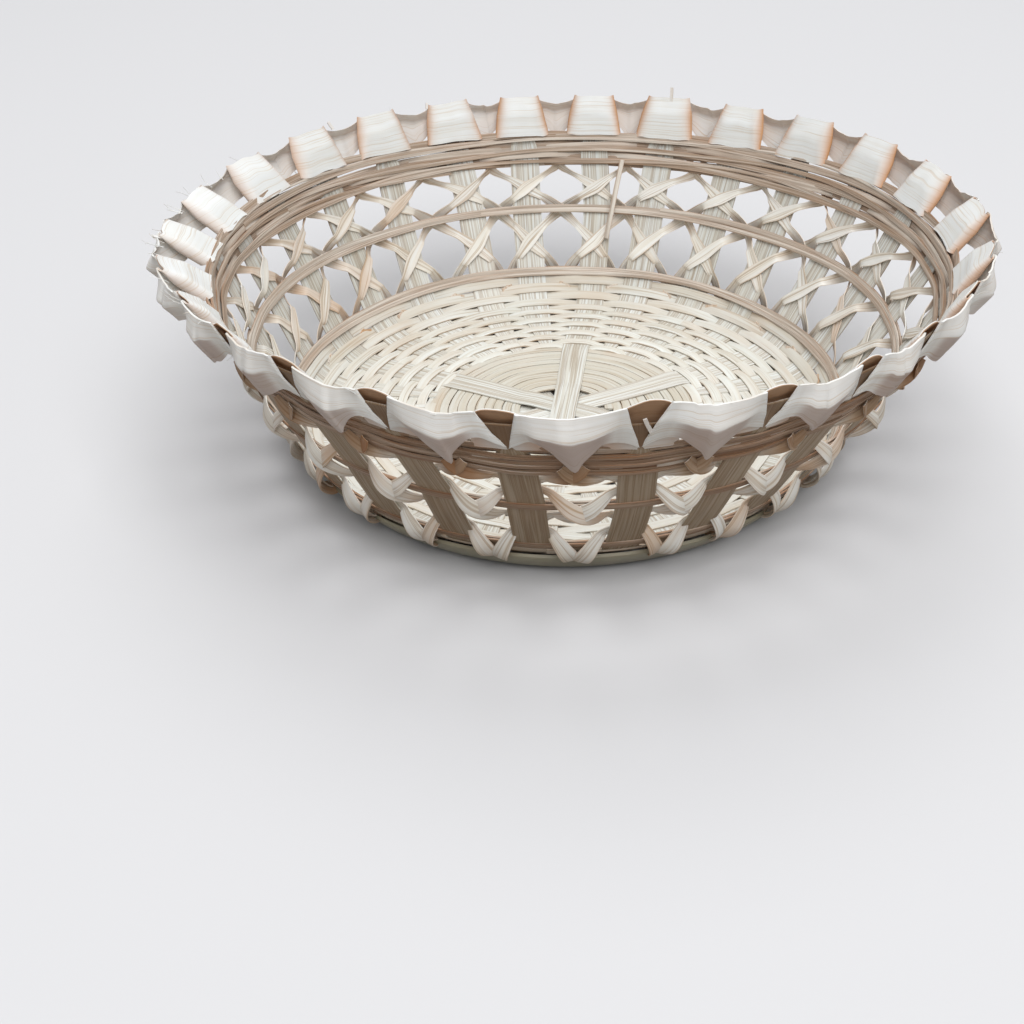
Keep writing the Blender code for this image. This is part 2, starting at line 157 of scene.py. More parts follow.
@dataclass(frozen=True)
class BodyShape:
    """The woven body: flat floor, round corner and a wall that leans less towards the rim.

    Attributes:
        count: Number of stakes.
        floor_height: Height of the middle of the stakes on the floor.
        floor_radius: Where the floor ends.
        corner_radius: Radius of the corner between floor and wall.
        lean: How far the corner turns up.
        wall_curve: Radius of the wall's slight curve.
        hoop_rise: From the corner's end to the lower hoop.
        lower_row: Height of the lower open row.
        upper_row: Height of the upper open row.
        band_height: Height of the woven band.
        low_shifts: How far single stakes stand from their even place at the hoops, in gaps.
        high_shifts: The same at the band.
        unevenness: Slow waves of the spacing. Each has its size in gaps, its number round the basket and
            its phase.
        even_until: Where on the floor the uneven spacing begins.
        shift_reach: How far above the band the high shifts are full.
        flares: Places where the rim leans out. Each has its angle, its size in millimetres and its reach.
        flare_reach: How far above the band a flare is full.
        sag: How much lower the two hoops and the edges of the band lie all round, and towards the back,
            in millimetres.
        skew: How much the rim is moved along X at its two ends.
        saddle: How much the rim is raised at its two ends along X.
    """

    count: int = 26
    floor_height: float = 4.2 * MM
    floor_radius: float = 67.5 * MM
    corner_radius: float = 16.0 * MM
    lean: float = math.radians(57.0)
    wall_curve: float = 280.0 * MM
    hoop_rise: float = 1.8 * MM
    lower_row: float = 24.0 * MM
    upper_row: float = 16.0 * MM
    band_height: float = 8.4 * MM
    low_shifts: tuple[tuple[int, float], ...] = (
        (3, 0.05), (4, 0.07), (5, 0.10), (6, -0.11), (7, 0.0), (8, -0.10), (9, 0.09), (10, 0.07), (11, 0.06),
        (13, 0.0), (17, 0.0), (18, 0.02), (19, 0.05), (20, 0.19), (21, 0.13), (23, 0.0),
    )
    high_shifts: tuple[tuple[int, float], ...] = (
        (0, 0.03), (1, 0.10), (3, 0.05), (5, 0.07), (6, 0.0), (9, 0.02), (11, 0.18), (12, 0.16), (14, 0.0),
        (16, -0.24), (17, -0.33), (18, -0.27), (19, -0.07), (20, 0.06), (21, 0.24), (22, 0.24), (23, 0.1),
    )
    unevenness: Table = ((0.02, 5, 0.0), (0.015, 9, 1.0))
    even_until: float = 45.0 * MM
    shift_reach: float = 8.0 * MM
    flares: Table = ((182.0, 9.6, 30.0), (0.0, 4.3, 28.0))
    flare_reach: float = 11.6 * MM
    sag: tuple[tuple[float, float], ...] = ((0.0, 0.0), (1.9, 0.9), (2.6, 1.6), (0.6, 0.5))
    skew: float = 4.0 * MM
    saddle: float = 3.5 * MM

    @property
    def wall_foot(self) -> float:
        """Where the corner ends."""
        return self.floor_radius + self.corner_radius * self.lean

    @property
    def lower_hoop(self) -> float:
        """Where the lower hoop runs."""
        return self.wall_foot + self.hoop_rise

    @property
    def middle_hoop(self) -> float:
        """Where the middle hoop runs."""
        return self.lower_hoop + self.lower_row

    @property
    def band_foot(self) -> float:
        """Where the woven band begins."""
        return self.middle_hoop + self.upper_row

    @property
    def band_top(self) -> float:
        """Where the woven band ends."""
        return self.band_foot + self.band_height

    @property
    def gap_angle(self) -> float:
        """The angle from one stake to the next."""
        return FULL_TURN / self.count

    def profile(self, along: np.ndarray, layer: np.ndarray) -> tuple[np.ndarray, ...]:
        """The body's own curve.

        Args:
            along: Places along the body.
            layer: How far outside the middle of the stakes.

        Returns:
            Radius, height and the angle by which the body has turned up.
        """
        corner = np.clip((along - self.floor_radius) / self.corner_radius, 0, self.lean)
        turn = corner + np.maximum(along - self.wall_foot, 0) / self.wall_curve
        inner = self.corner_radius - self.wall_curve
        radius = np.minimum(along, self.floor_radius)
        radius = radius + np.sin(corner) * inner + np.sin(turn) * (self.wall_curve + layer)
        height = self.floor_height + self.corner_radius
        height = height - np.cos(corner) * inner - np.cos(turn) * (self.wall_curve + layer)
        return radius, height, turn

    def angle(self, gaps: np.ndarray, along: np.ndarray) -> np.ndarray:
        """The angle round the basket, with the uneven spacing of hand work on the wall.

        Args:
            gaps: How many stakes have been passed.
            along: Places along the body.

        Returns:
            Angles from +X.
        """
        gaps = np.asarray(gaps, float)
        along = np.asarray(along, float)
        moved = sum(
            size * np.sin(gaps * self.gap_angle * waves + phase) for size, waves, phase in self.unevenness
        )
        low, high = (
            np.interp(gaps, *np.array(shifts).T, period=self.count)
            for shifts in (self.low_shifts, self.high_shifts)
        )
        rise = share_of(along, self.middle_hoop, self.band_top + self.shift_reach - self.middle_hoop)
        moved = moved + low + (high - low) * rise
        fade = share_of(along, self.even_until, self.floor_radius - self.even_until)
        return (gaps + moved * fade) * self.gap_angle

    def place(self, gaps: np.ndarray, along: np.ndarray, layer: np.ndarray) -> np.ndarray:
        """Points in space for places on the body.

        Args:
            gaps: How many stakes have been passed.
            along: Places along the body.
            layer: How far outside the middle of the stakes.

        Returns:
            The points, on a wall whose hoops sag and whose rim is a little bent and off the middle.
        """
        along = np.asarray(along, float)
        angle = self.angle(gaps, along)
        marks = (self.lower_hoop, self.middle_hoop, self.band_foot, self.band_top)
        even, towards_back = np.array(self.sag).T * MM
        lowered = np.interp(along, marks, even) + np.interp(along, marks, towards_back) * np.sin(angle)
        above = share_of(along, self.band_top, self.flare_reach)
        layer = np.asarray(layer, float) + self.flare(angle) * above
        radius, height, _ = self.profile(along - lowered, layer)
        share = share_of(along, self.lower_hoop, self.band_top - self.lower_hoop)
        height = height + self.saddle * share * np.cos(angle) ** 2
        radius = radius + self.skew * share * np.cos(angle) * np.abs(np.cos(angle))
        return np.stack([radius * np.cos(angle), radius * np.sin(angle), height], axis=-1)

    def flare(self, angle: np.ndarray) -> np.ndarray:
        """How far the rim leans out, round the basket.

        Args:
            angle: Angles from +X.

        Returns:
            The distance outward at each angle.
        """
        total = np.zeros_like(np.asarray(angle, float))
        for middle, size, reach in self.flares:
            away = (np.degrees(angle) - middle + 180.0) % 360.0 - 180.0
            total = total + size * MM * bell(away, reach)
        return total

    def outward(self, gaps: np.ndarray, along: np.ndarray) -> np.ndarray:
        """Directions straight out of the body's outer face.

        Args:
            gaps: How many stakes have been passed.
            along: Places along the body.

        Returns:
            One direction for each place.
        """
        _, _, turn = self.profile(np.asarray(along, float), np.zeros_like(along, dtype=float))
        angle = self.angle(gaps, along)
        return np.stack(
            [np.sin(turn) * np.cos(angle), np.sin(turn) * np.sin(angle), -np.cos(turn)], axis=-1
        )


@dataclass
class Splint:
    """One splint: its path, the directions of its width and face, its colour and its painted shade.

    Attributes:
        places: Points of the middle line.
        across: Directions of the width.
        face: Directions out of the face.
        half_width: Half the width at each point.
        fold: How far the middle of the section stands off the line between its edges, as vectors.
        tone: Shade of the whole splint, from -1, dark, to 1, pale.
        stain: How brown each point is, 0 to 1, with painted shade and glow in folds and shaded ends.
        rear: Painted shade of the outer face at each point, 0 to 1, or down to -1 for its lower half.
        layout: Whether the path closes on itself.
    """

    places: np.ndarray
    across: np.ndarray
    face: np.ndarray
    half_width: np.ndarray
    fold: np.ndarray
    tone: float
    stain: np.ndarray
    rear: np.ndarray
    layout: Layout = Layout.OPEN

    @classmethod
    def on_path(
        cls,
        places: np.ndarray,
        outward: np.ndarray,
        width: np.ndarray | float,
        tone: float = 0.0,
        stain: np.ndarray | float = 0.0,
        rear: np.ndarray | float = 0.0,
        roll: np.ndarray | float = 0.0,
        cup: np.ndarray | float = 0.0,
        layout: Layout = Layout.OPEN,
    ) -> Splint:
        """A splint whose face follows the body.

        Args:
            places: Points of the middle line.
            outward: Directions that its outer face looks in.
            width: The whole width.
            tone: Shade of the splint.
            stain: How brown it is, with stains and painted shade.
            rear: How much painted shade darkens its outer face.
            roll: Angles by which the section turns about the path.
            cup: How far the middle of the section stands out.
            layout: Whether the path closes on itself.

        Returns:
            The splint.
        """
        count = len(places)
        if layout is Layout.CLOSED:
            ahead, behind = np.roll(places, -1, axis=0), np.roll(places, 1, axis=0)
            travel = unit(ahead - behind)
        else:
            travel = unit(np.gradient(places, axis=0))
        across = unit(np.cross(outward, travel))
        face = unit(np.cross(travel, across))
        angle = np.broadcast_to(np.asarray(roll, float), (count,))[:, None]
        across, face = (
            across * np.cos(angle) + face * np.sin(angle),
            face * np.cos(angle) - across * np.sin(angle),
        )
        bulge = np.broadcast_to(np.asarray(cup, float), (count,))[:, None]
        return cls(
            places=places,
            across=across,
            face=face,
            half_width=np.broadcast_to(np.asarray(width, float) / 2, (count,)).copy(),
            fold=face * bulge,
            tone=tone,
            stain=np.broadcast_to(np.asarray(stain, float), (count,)).copy(),
            rear=np.broadcast_to(np.asarray(rear, float), (count,)).copy(),
            layout=layout,
        )


class NodeSheet:
    """A node tree with short ways to add and join nodes."""

    def __init__(self, tree: bpy.types.NodeTree) -> None:
        """Keep the tree that nodes are added to."""
        self.tree = tree

    def add(self, kind: str, settings: dict | None = None, inputs: dict | None = None) -> bpy.types.Node:
        """Add one node.

        Args:
            kind: The node's type name.
            settings: Properties of the node.
            inputs: Values or sockets, by the input's name or number.

        Returns:
            The node.
        """
        node = self.tree.nodes.new(kind)
        for name, value in (settings or {}).items():
            setattr(node, name, value)
        for key, value in (inputs or {}).items():
            socket = node.inputs[key]
            if isinstance(value, bpy.types.NodeSocket):
                self.tree.links.new(value, socket)
            else:
                socket.default_value = value
        return node

    def math(self, operation: str, *values: float | Socket) -> Socket:
        """A Math node and its result."""
        node = self.add("ShaderNodeMath", {"operation": operation}, dict(enumerate(values)))
        return node.outputs[0]

    def times(self, first: float | Socket, second: float | Socket) -> Socket:
        """Two numbers multiplied."""
        return self.math("MULTIPLY", first, second)

    def plus(self, first: float | Socket, second: float | Socket) -> Socket:
        """Two numbers added."""
        return self.math("ADD", first, second)

    def positive(self, value: Socket) -> Socket:
        """The number where it is above 0, otherwise 0."""
        return self.math("MAXIMUM", value, 0.0)

    def vector_sum(self, first: Socket, second: Socket) -> Socket:
        """Two vectors added."""
        return self.add("ShaderNodeVectorMath", {"operation": "ADD"}, {0: first, 1: second}).outputs[0]

    def scaled(self, vector: Socket, factor: float | Socket) -> Socket:
        """A vector times a number."""
        node = self.add("ShaderNodeVectorMath", {"operation": "SCALE"}, {0: vector, "Scale": factor})
        return node.outputs[0]

    def joined(self, **axes: float | Socket) -> Socket:
        """A vector from its X, Y and Z."""
        return self.add("ShaderNodeCombineXYZ", {}, axes).outputs[0]

    def noise(self, vector: Socket, scale: float, detail: float) -> Socket:
        """The value of a Noise Texture."""
        node = self.add("ShaderNodeTexNoise", {}, {"Vector": vector, "Scale": scale, "Detail": detail})
        return node.outputs[0]

    def mixed(self, factor: float | Socket, first: object, second: object, blend: str = "MIX") -> Socket:
        """Two colours mixed.

        Args:
            factor: How much of the second one there is.
            first: The first colour, or its socket.
            second: The second colour, or its socket.
            blend: How they are mixed.

        Returns:
            The mixed colour.
        """
        node = self.add("ShaderNodeMix", {"data_type": "RGBA", "blend_type": blend})
        for index, value in ((0, factor), (6, first), (7, second)):
            if isinstance(value, bpy.types.NodeSocket):
                self.tree.links.new(value, node.inputs[index])
            else:
                node.inputs[index].default_value = value
        return node.outputs[2]

    def ramp(self, value: Socket, low: float, high: float) -> Socket:
        """A number mapped smoothly to the range from 0 to 1.

        Args:
            value: The number.
            low: What becomes 0.
            high: What becomes 1.

        Returns:
            The mapped number.
        """
        node = self.add(
            "ShaderNodeMapRange",
            {"interpolation_type": "SMOOTHSTEP"},
            {"Value": value, "From Min": low, "From Max": high},
        )
        return node.outputs[0]


class SplintTree:
    """The Geometry Nodes tree that gives a path its splint.

    Attributes:
        PATH_VECTORS: Attributes of the path that are vectors.
        PATH_NUMBERS: Attributes of the path that are numbers.
        SIDE_POWER: How blunt the rounded section is at its sides, 1 for an ellipse.
        FACE_POWER: How flat its faces are, 1 for an ellipse.
        EDGE_SCALE: How close together the bumps of an uneven edge are, to the metre.
        RIPPLE_SCALE: The same for the waves of a face.
    """

    SIDE_POWER = 0.62
    FACE_POWER = 0.3
    EDGE_SCALE = 420.0
    RIPPLE_SCALE = 130.0
    PATH_VECTORS = ("place", "across", "face", "fold")
    PATH_NUMBERS = ("half_width", "travel", "grain_width")

    def __init__(self, name: str, section_points: int, flat: bool) -> None:
        """Build the tree.

        Args:
            name: Name of the node group.
            section_points: Points of one section.
            flat: True for an even sheet with two rows of points, False for a rounded section.
        """
        self.flat = flat
        self.group = bpy.data.node_groups.new(name, "GeometryNodeTree")
        face = self.group.interface
        face.new_socket("Geometry", in_out="OUTPUT", socket_type="NodeSocketGeometry")
        face.new_socket("Geometry", in_out="INPUT", socket_type="NodeSocketGeometry")
        self.inputs: dict[str, str] = {}
        for label, kind, value in (
            ("Thickness", "NodeSocketFloat", 0.5 * MM),
            ("Edge Roughness", "NodeSocketFloat", 0.05),
            ("Ripple", "NodeSocketFloat", 0.05 * MM),
            ("Fold Softness", "NodeSocketFloat", 0.5),
            ("Seed", "NodeSocketFloat", 0.0),
            ("Finish", "NodeSocketMaterial", None),
        ):
            socket = face.new_socket(label, in_out="INPUT", socket_type=kind)
            if value is not None:
                socket.default_value = value
            self.inputs[label] = socket.identifier
        self.sheet = NodeSheet(self.group)
        self._fill(section_points)

    def _named(self, name: str, kind: str) -> Socket:
        """A named attribute of the path."""
        node = self.sheet.add("GeometryNodeInputNamedAttribute", {"data_type": kind}, {"Name": name})
        return node.outputs[0]

    def _profile(self, section_points: int) -> Socket:
        """The section, with its own coordinates stored on its points.

        Args:
            section_points: Points of one section.

        Returns:
            The section's curve.
        """
        sheet = self.sheet
        index = sheet.add("GeometryNodeInputIndex").outputs[0]
        ring = sheet.add("GeometryNodeCurvePrimitiveCircle", {}, {"Resolution": section_points})
        curve = ring.outputs[0]
        if self.flat:
            row = section_points // 2
            through = sheet.math("SIGN", sheet.math("SUBTRACT", row - 0.5, index))
            place = sheet.math("MODULO", index, row)
            share = sheet.math("SUBTRACT", sheet.math("DIVIDE", place, (row - 1) / 2), 1.0)
            across = sheet.times(share, sheet.times(through, -1.0))
        else:
            angle = sheet.times(sheet.plus(index, 0.5), FULL_TURN / section_points)
            across = self._flattened(sheet.math("COSINE", angle), self.SIDE_POWER)
            through = self._flattened(sheet.math("SINE", angle), self.FACE_POWER)
        return self._stored(curve, "section", "FLOAT_VECTOR", sheet.joined(X=across, Y=through))

    def _stored(self, geometry: Socket, name: str, kind: str, value: Socket) -> Socket:
        """Geometry with a value stored on its points.

        Args:
            geometry: The geometry.
            name: Name of the attribute.
            kind: Its data type.
            value: Its value.

        Returns:
            The geometry with the attribute.
        """
        node = self.sheet.add(
            "GeometryNodeStoreNamedAttribute",
            {"data_type": kind, "domain": "POINT"},
            {"Geometry": geometry, "Name": name, "Value": value},
        )
        return node.outputs[0]

    def _flattened(self, value: Socket, power: float) -> Socket:
        """The value with its sign kept and its size raised to a power."""
        size = self.sheet.math("POWER", self.sheet.math("ABSOLUTE", value), power)
        return self.sheet.times(self.sheet.math("SIGN", value), size)

    def _fill(self, section_points: int) -> None:
        """Add and join the nodes.

        Args:
            section_points: Points of one section.
        """
        sheet = self.sheet
        source = sheet.add("NodeGroupInput").outputs
        path = sheet.add("GeometryNodeMeshToCurve", {}, {"Mesh": source["Geometry"]})
        sweep = sheet.add(
            "GeometryNodeCurveToMesh",
            {},
            {
                "Curve": path.outputs[0],
                "Profile Curve": self._profile(section_points),
                "Fill Caps": True,
            },
        )
        place, across, face, fold = (self._named(name, "FLOAT_VECTOR") for name in self.PATH_VECTORS)
        half_width, travel, grain_width = (self._named(name, "FLOAT") for name in self.PATH_NUMBERS)
        section = sheet.add("ShaderNodeSeparateXYZ", {}, {0: self._named("section", "FLOAT_VECTOR")})
        u, v = section.outputs[0], section.outputs[1]

        # uneven edges
        seeded = sheet.plus(travel, source["Seed"])
        edge_at = sheet.joined(X=seeded, Y=sheet.math("SIGN", u))
        edge = sheet.math("SUBTRACT", sheet.noise(edge_at, self.EDGE_SCALE, 2.0), 0.5)
        rough = sheet.times(edge, source["Edge Roughness"])
        reach = sheet.times(sheet.times(u, half_width), sheet.plus(rough, 1.0))

        # waves of the face
        wave_at = sheet.joined(X=seeded, Y=sheet.times(reach, 2.0))
        wave = sheet.math("SUBTRACT", sheet.noise(wave_at, self.RIPPLE_SCALE, 1.0), 0.5)
        half_thickness = sheet.times(source["Thickness"], 0.5)
        lift = sheet.plus(sheet.times(v, half_thickness), sheet.times(wave, source["Ripple"]))

        # the fold along the middle, sharp or soft
        soft = source["Fold Softness"]
        soft_square = sheet.times(soft, soft)
        bend = sheet.math("SQRT", sheet.plus(sheet.times(u, u), soft_square))
        rim = sheet.math("SQRT", sheet.plus(soft_square, 1.0))
        tent = sheet.math("DIVIDE", sheet.math("SUBTRACT", rim, bend), sheet.math("SUBTRACT", rim, soft))

        position = sheet.vector_sum(place, sheet.scaled(across, reach))
        position = sheet.vector_sum(position, sheet.scaled(face, lift))
        position = sheet.vector_sum(position, sheet.scaled(fold, tent))
        moved = sheet.add(
            "GeometryNodeSetPosition", {}, {"Geometry": sweep.outputs[0], "Position": position}
        )
        grain = sheet.joined(X=travel, Y=sheet.times(u, grain_width), Z=u)
        stored = self._stored(moved.outputs[0], "grain", "FLOAT_VECTOR", grain)
        faced = self._stored(stored, "facing", "FLOAT", v)
        smooth = sheet.add("GeometryNodeSetShadeSmooth", {}, {"Geometry": faced})
        real = sheet.add("GeometryNodeRealizeInstances", {}, {"Geometry": smooth.outputs[0]})
        dressed = sheet.add(
            "GeometryNodeSetMaterial",
            {},
            {"Geometry": real.outputs[0], "Material": source["Finish"]},
        )
        sink = sheet.add("NodeGroupOutput")
        self.group.links.new(dressed.outputs[0], sink.inputs[0])


@dataclass(frozen=True)
class Kit:
    """What a sub-assembly is built with.

    Attributes:
        tree: The tree that sweeps its splints.
        finish: Their material.
        rng: The random source.
    """

    tree: SplintTree
    finish: bpy.types.Material
    rng: Generator


@dataclass
class Bundle:
    """Splints of one piece, with the sizes that they share.

    Attributes:
        name: Name of the piece.
        slot: The record's material slot. Not used.
        nodes: CAD nodes that the piece stands for.
        thickness: Thickness of each splint.
        edge_roughness: How uneven the edges are, as a share of the width.
        ripple: How far the faces wave.
        fold_softness: 0 for a sharp fold along the middle, 1 for a wide one.
        splints: The splints.
    """

    name: str
    slot: Slot
    nodes: list[str]
    thickness: float
    edge_roughness: float = 0.06
    ripple: float = 0.12 * MM
    fold_softness: float = 0.8
    splints: list[Splint] = field(default_factory=list)

    def _path_mesh(self, rng: Generator) -> bpy.types.Mesh:
        """The paths as a mesh of edges, with one attribute for each value that the tree reads.

        Args:
            rng: The random source for where along its wood each splint is cut.

        Returns:
            The mesh.
        """
        edges, vectors, numbers = [], {}, {}
        start = 0
        for splint in self.splints:
            count = len(splint.places)
            index = np.arange(count)
            following = np.roll(index, -1) if splint.layout is Layout.CLOSED else index[1:]
            edges.append(np.stack([index[: len(following)], following], axis=1) + start)
            steps = np.linalg.norm(np.diff(splint.places, axis=0), axis=1)
            travel = np.concatenate([[0.0], np.cumsum(steps)]) + rng.uniform(0.0, WOOD_LENGTH)
            for label, value in (
                ("place", splint.places),
                ("across", splint.across),
                ("face", splint.face),
                ("fold", splint.fold),
            ):
                vectors.setdefault(label, []).append(value)
            for label, value in (
                ("half_width", splint.half_width),
                ("travel", travel),
                ("grain_width", np.full(count, splint.half_width.mean())),
                ("tone", np.full(count, splint.tone)),
                ("stain", splint.stain),
                ("rear", splint.rear),
            ):
                numbers.setdefault(label, []).append(value)
            start += count
        mesh = bpy.data.meshes.new(self.name + "_paths")
        mesh.from_pydata(np.concatenate(vectors["place"]), np.concatenate(edges).tolist(), [])
        for label, parts in vectors.items():
            layer = mesh.attributes.new(label, "FLOAT_VECTOR", "POINT")
            layer.data.foreach_set("vector", np.concatenate(parts).astype(np.float32).ravel())
        for label, parts in numbers.items():
            layer = mesh.attributes.new(label, "FLOAT", "POINT")
            layer.data.foreach_set("value", np.concatenate(parts).astype(np.float32))
        return mesh

    def build(self, kit: Kit) -> bpy.types.Object:
        """Sweep the splints and put the piece into the frame.

        Args:
            kit: What they are built with.

        Returns:
            The finished piece.
        """
        guide = bpy.data.objects.new(self.name + "_guide", self._path_mesh(kit.rng))
        bpy.context.scene.collection.objects.link(guide)
        sweep = guide.modifiers.new("Splint", "NODES")
        sweep.node_group = kit.tree.group
        for label, value in (
            ("Thickness", self.thickness),
            ("Edge Roughness", self.edge_roughness),
            ("Ripple", self.ripple),
            ("Fold Softness", self.fold_softness),
            ("Seed", float(SEED)),
            ("Finish", kit.finish),
        ):
            sweep[kit.tree.inputs[label]] = value
        return settle(guide, self.name, self.nodes, kit.finish)


def settle(
    guide: bpy.types.Object, name: str, nodes: list[str], finish: bpy.types.Material
) -> bpy.types.Object:
    """Turn an object with modifiers into a plain mesh that rides on the basket.

    Args:
        guide: The object with its modifiers.
        name: Name of the finished piece.
        nodes: CAD nodes that the piece stands for.
        finish: Its material.

    Returns:
        The finished piece.
    """
    graph = bpy.context.evaluated_depsgraph_get()
    mesh = bpy.data.meshes.new_from_object(guide.evaluated_get(graph))
    mesh.name = name
    bpy.data.objects.remove(guide, do_unlink=True)
    shape = bmesh.new()
    shape.from_mesh(mesh)
    bmesh.ops.recalc_face_normals(shape, faces=shape.faces)
    shape.to_mesh(mesh)
    shape.free()
    for label in ("place", "across", "face", "fold", "half_width", "section", "travel", "grain_width"):
        if label in mesh.attributes:
            mesh.attributes.remove(mesh.attributes[label])
    mesh.materials.clear()
    mesh.materials.append(finish)
    mesh.shade_smooth()
    mesh.set_sharp_from_angle(angle=SHARP_ANGLE)
    piece = bpy.data.objects.new(name, mesh)
    bpy.context.scene.collection.objects.link(piece)
    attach(piece, "root")
    if nodes:
        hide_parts(*nodes)
    LOG.info("%s: %d faces", name, len(mesh.polygons))
    return piece


@dataclass(frozen=True)
class SplintFinish:
    """Split wood with its grain along the splint.

    Attributes:
        name: Name of the material.
        pale: Colour of the pale wood.
        deep: Colour of the darker wood between the pale streaks.
        line: Colour of the thin dark grain lines.
        stain: Colour of brown stains, and of the painted shade and glow in folds and shaded ends.
        back: Colour by which an outer face is multiplied as painted shade.
        under: The same, as painted shade on the lower half of an outer face.
        edge: How much browner the edges are, from 0 to 1.
        stripes: Grain lines to the metre of width.
        line_share: How much of the width the dark lines take.
        roughness: Roughness of the surface.
        bump: Strength of the grain.
        bump_depth: Depth of the grain's deepest lines.
        glow: How much light comes through the thin wood.
        bleached: Colour towards which pale splints go.
        shining: Colour with which the light that comes through is mixed.
    """

    name: str
    pale: tuple[float, float, float]
    deep: tuple[float, float, float]
    line: tuple[float, float, float]
    stain: tuple[float, float, float]
    back: tuple[float, float, float] = (0.6, 0.45, 0.32)
    under: tuple[float, float, float] = (0.5, 0.41, 0.36)
    edge: float = 0.3
    stripes: float = 900.0
    line_share: float = 0.35
    roughness: float = 0.55
    bump: float = 0.25
    bump_depth: float = 0.25 * MM
    glow: float = 0.12
    bleached: tuple[float, float, float] = (0.90, 0.89, 0.82)
    shining: tuple[float, float, float] = (0.8, 0.42, 0.16)

    def build(self) -> bpy.types.Material:
        """The material as nodes.

        Returns:
            The material.
        """
        material = bpy.data.materials.new(self.name)
        material.use_nodes = True
        sheet = NodeSheet(material.node_tree)
        sheet.tree.nodes.clear()
        grain = sheet.add("ShaderNodeAttribute", {"attribute_name": "grain"}).outputs["Vector"]
        tone, stain, facing, rear = (
            sheet.add("ShaderNodeAttribute", {"attribute_name": name}).outputs["Fac"]
            for name in ("tone", "stain", "facing", "rear")
        )
        part = sheet.add("ShaderNodeSeparateXYZ", {}, {0: grain})
        along, reach, side = part.outputs[0], part.outputs[1], part.outputs[2]

        def streaks(along_scale: float, across_scale: float, detail: float) -> Socket:
            """Noise that is drawn out along the splint.

            Args:
                along_scale: Streaks to the metre of length.
                across_scale: Streaks to the metre of width.
                detail: How many finer layers the noise has.

            Returns:
                The noise.
            """
            at = sheet.joined(
                X=sheet.times(along, along_scale),
                Y=sheet.times(reach, across_scale),
                Z=sheet.times(tone, 7.0),
            )
            return sheet.noise(at, 1.0, detail)

        broad = streaks(18.0, self.stripes * 0.35, 2.0)
        fine = streaks(26.0, self.stripes, 2.0)
        hair = streaks(60.0, self.stripes * 3.2, 3.0)
        here = sheet.add("ShaderNodeTexCoord").outputs["Object"]
        patch = sheet.noise(here, 75.0, 2.0)

        # pale and darker streaks with thin dark lines
        colour = sheet.mixed(sheet.ramp(broad, 0.3, 0.7), (*self.deep, 1), (*self.pale, 1))
        lines = sheet.math("SUBTRACT", 1.0, sheet.ramp(fine, self.line_share, self.line_share + 0.12))
        lines = sheet.times(lines, sheet.ramp(hair, 0.25, 0.6))
        colour = sheet.mixed(sheet.times(lines, 0.75), colour, (*self.line, 1))

        # the shade of the whole splint, and patches
        patchy = sheet.times(sheet.math("SUBTRACT", patch, 0.5), 0.35)
        shade = sheet.plus(sheet.times(tone, 0.22), patchy)
        darker = sheet.positive(sheet.times(shade, -1.0))
        colour = sheet.mixed(sheet.positive(shade), colour, (*self.bleached, 1))
        colour = sheet.mixed(sheet.times(darker, 1.5), colour, (*self.deep, 1), "MULTIPLY")

        # brown edges and stains, and the painted shade and glow of folds and shaded ends
        rim = sheet.ramp(sheet.math("ABSOLUTE", side), 0.72, 1.0)
        rim = sheet.times(rim, sheet.times(sheet.ramp(patch, 0.35, 0.6), self.edge))
        blotch = sheet.ramp(sheet.plus(patch, sheet.times(hair, 0.4)), 0.3, 0.75)
        brown = sheet.math("MAXIMUM", sheet.times(stain, blotch), rim)
        colour = sheet.mixed(brown, colour, (*self.stain, 1))

        # painted shade on outer faces, whole or only below the crease
        outer = sheet.ramp(facing, -0.3, 0.3)
        lower = sheet.ramp(sheet.times(side, -1.0), -0.04, 0.04)
        pocket = sheet.times(sheet.positive(rear), outer)
        flap = sheet.times(sheet.positive(sheet.times(rear, -1.0)), lower)
        colour = sheet.mixed(pocket, colour, (*self.back, 1), "MULTIPLY")
        colour = sheet.mixed(sheet.times(flap, outer), colour, (*self.under, 1), "MULTIPLY")

        # the grain in relief, and the light
        height = sheet.plus(fine, sheet.times(hair, 0.5))
        bump = sheet.add(
            "ShaderNodeBump",
            {},
            {"Strength": self.bump, "Distance": self.bump_depth, "Height": height},
        )
        shader = sheet.add(
            "ShaderNodeBsdfPrincipled",
            {},
            {
                "Base Color": colour,
                "Roughness": sheet.plus(sheet.times(hair, 0.2), self.roughness - 0.1),
                "Normal": bump.outputs[0],
                "Specular IOR Level": 0.35,
            },
        )
        surface = shader
        if self.glow:
            warm = sheet.mixed(0.5, colour, (*self.shining, 1))
            through = sheet.add("ShaderNodeBsdfTranslucent", {}, {"Color": warm})
            surface = sheet.add(
                "ShaderNodeMixShader", {}, {0: self.glow, 1: shader.outputs[0], 2: through.outputs[0]}
            )
        output = sheet.add("ShaderNodeOutputMaterial")
        sheet.tree.links.new(surface.outputs[0], output.inputs[0])
        return material


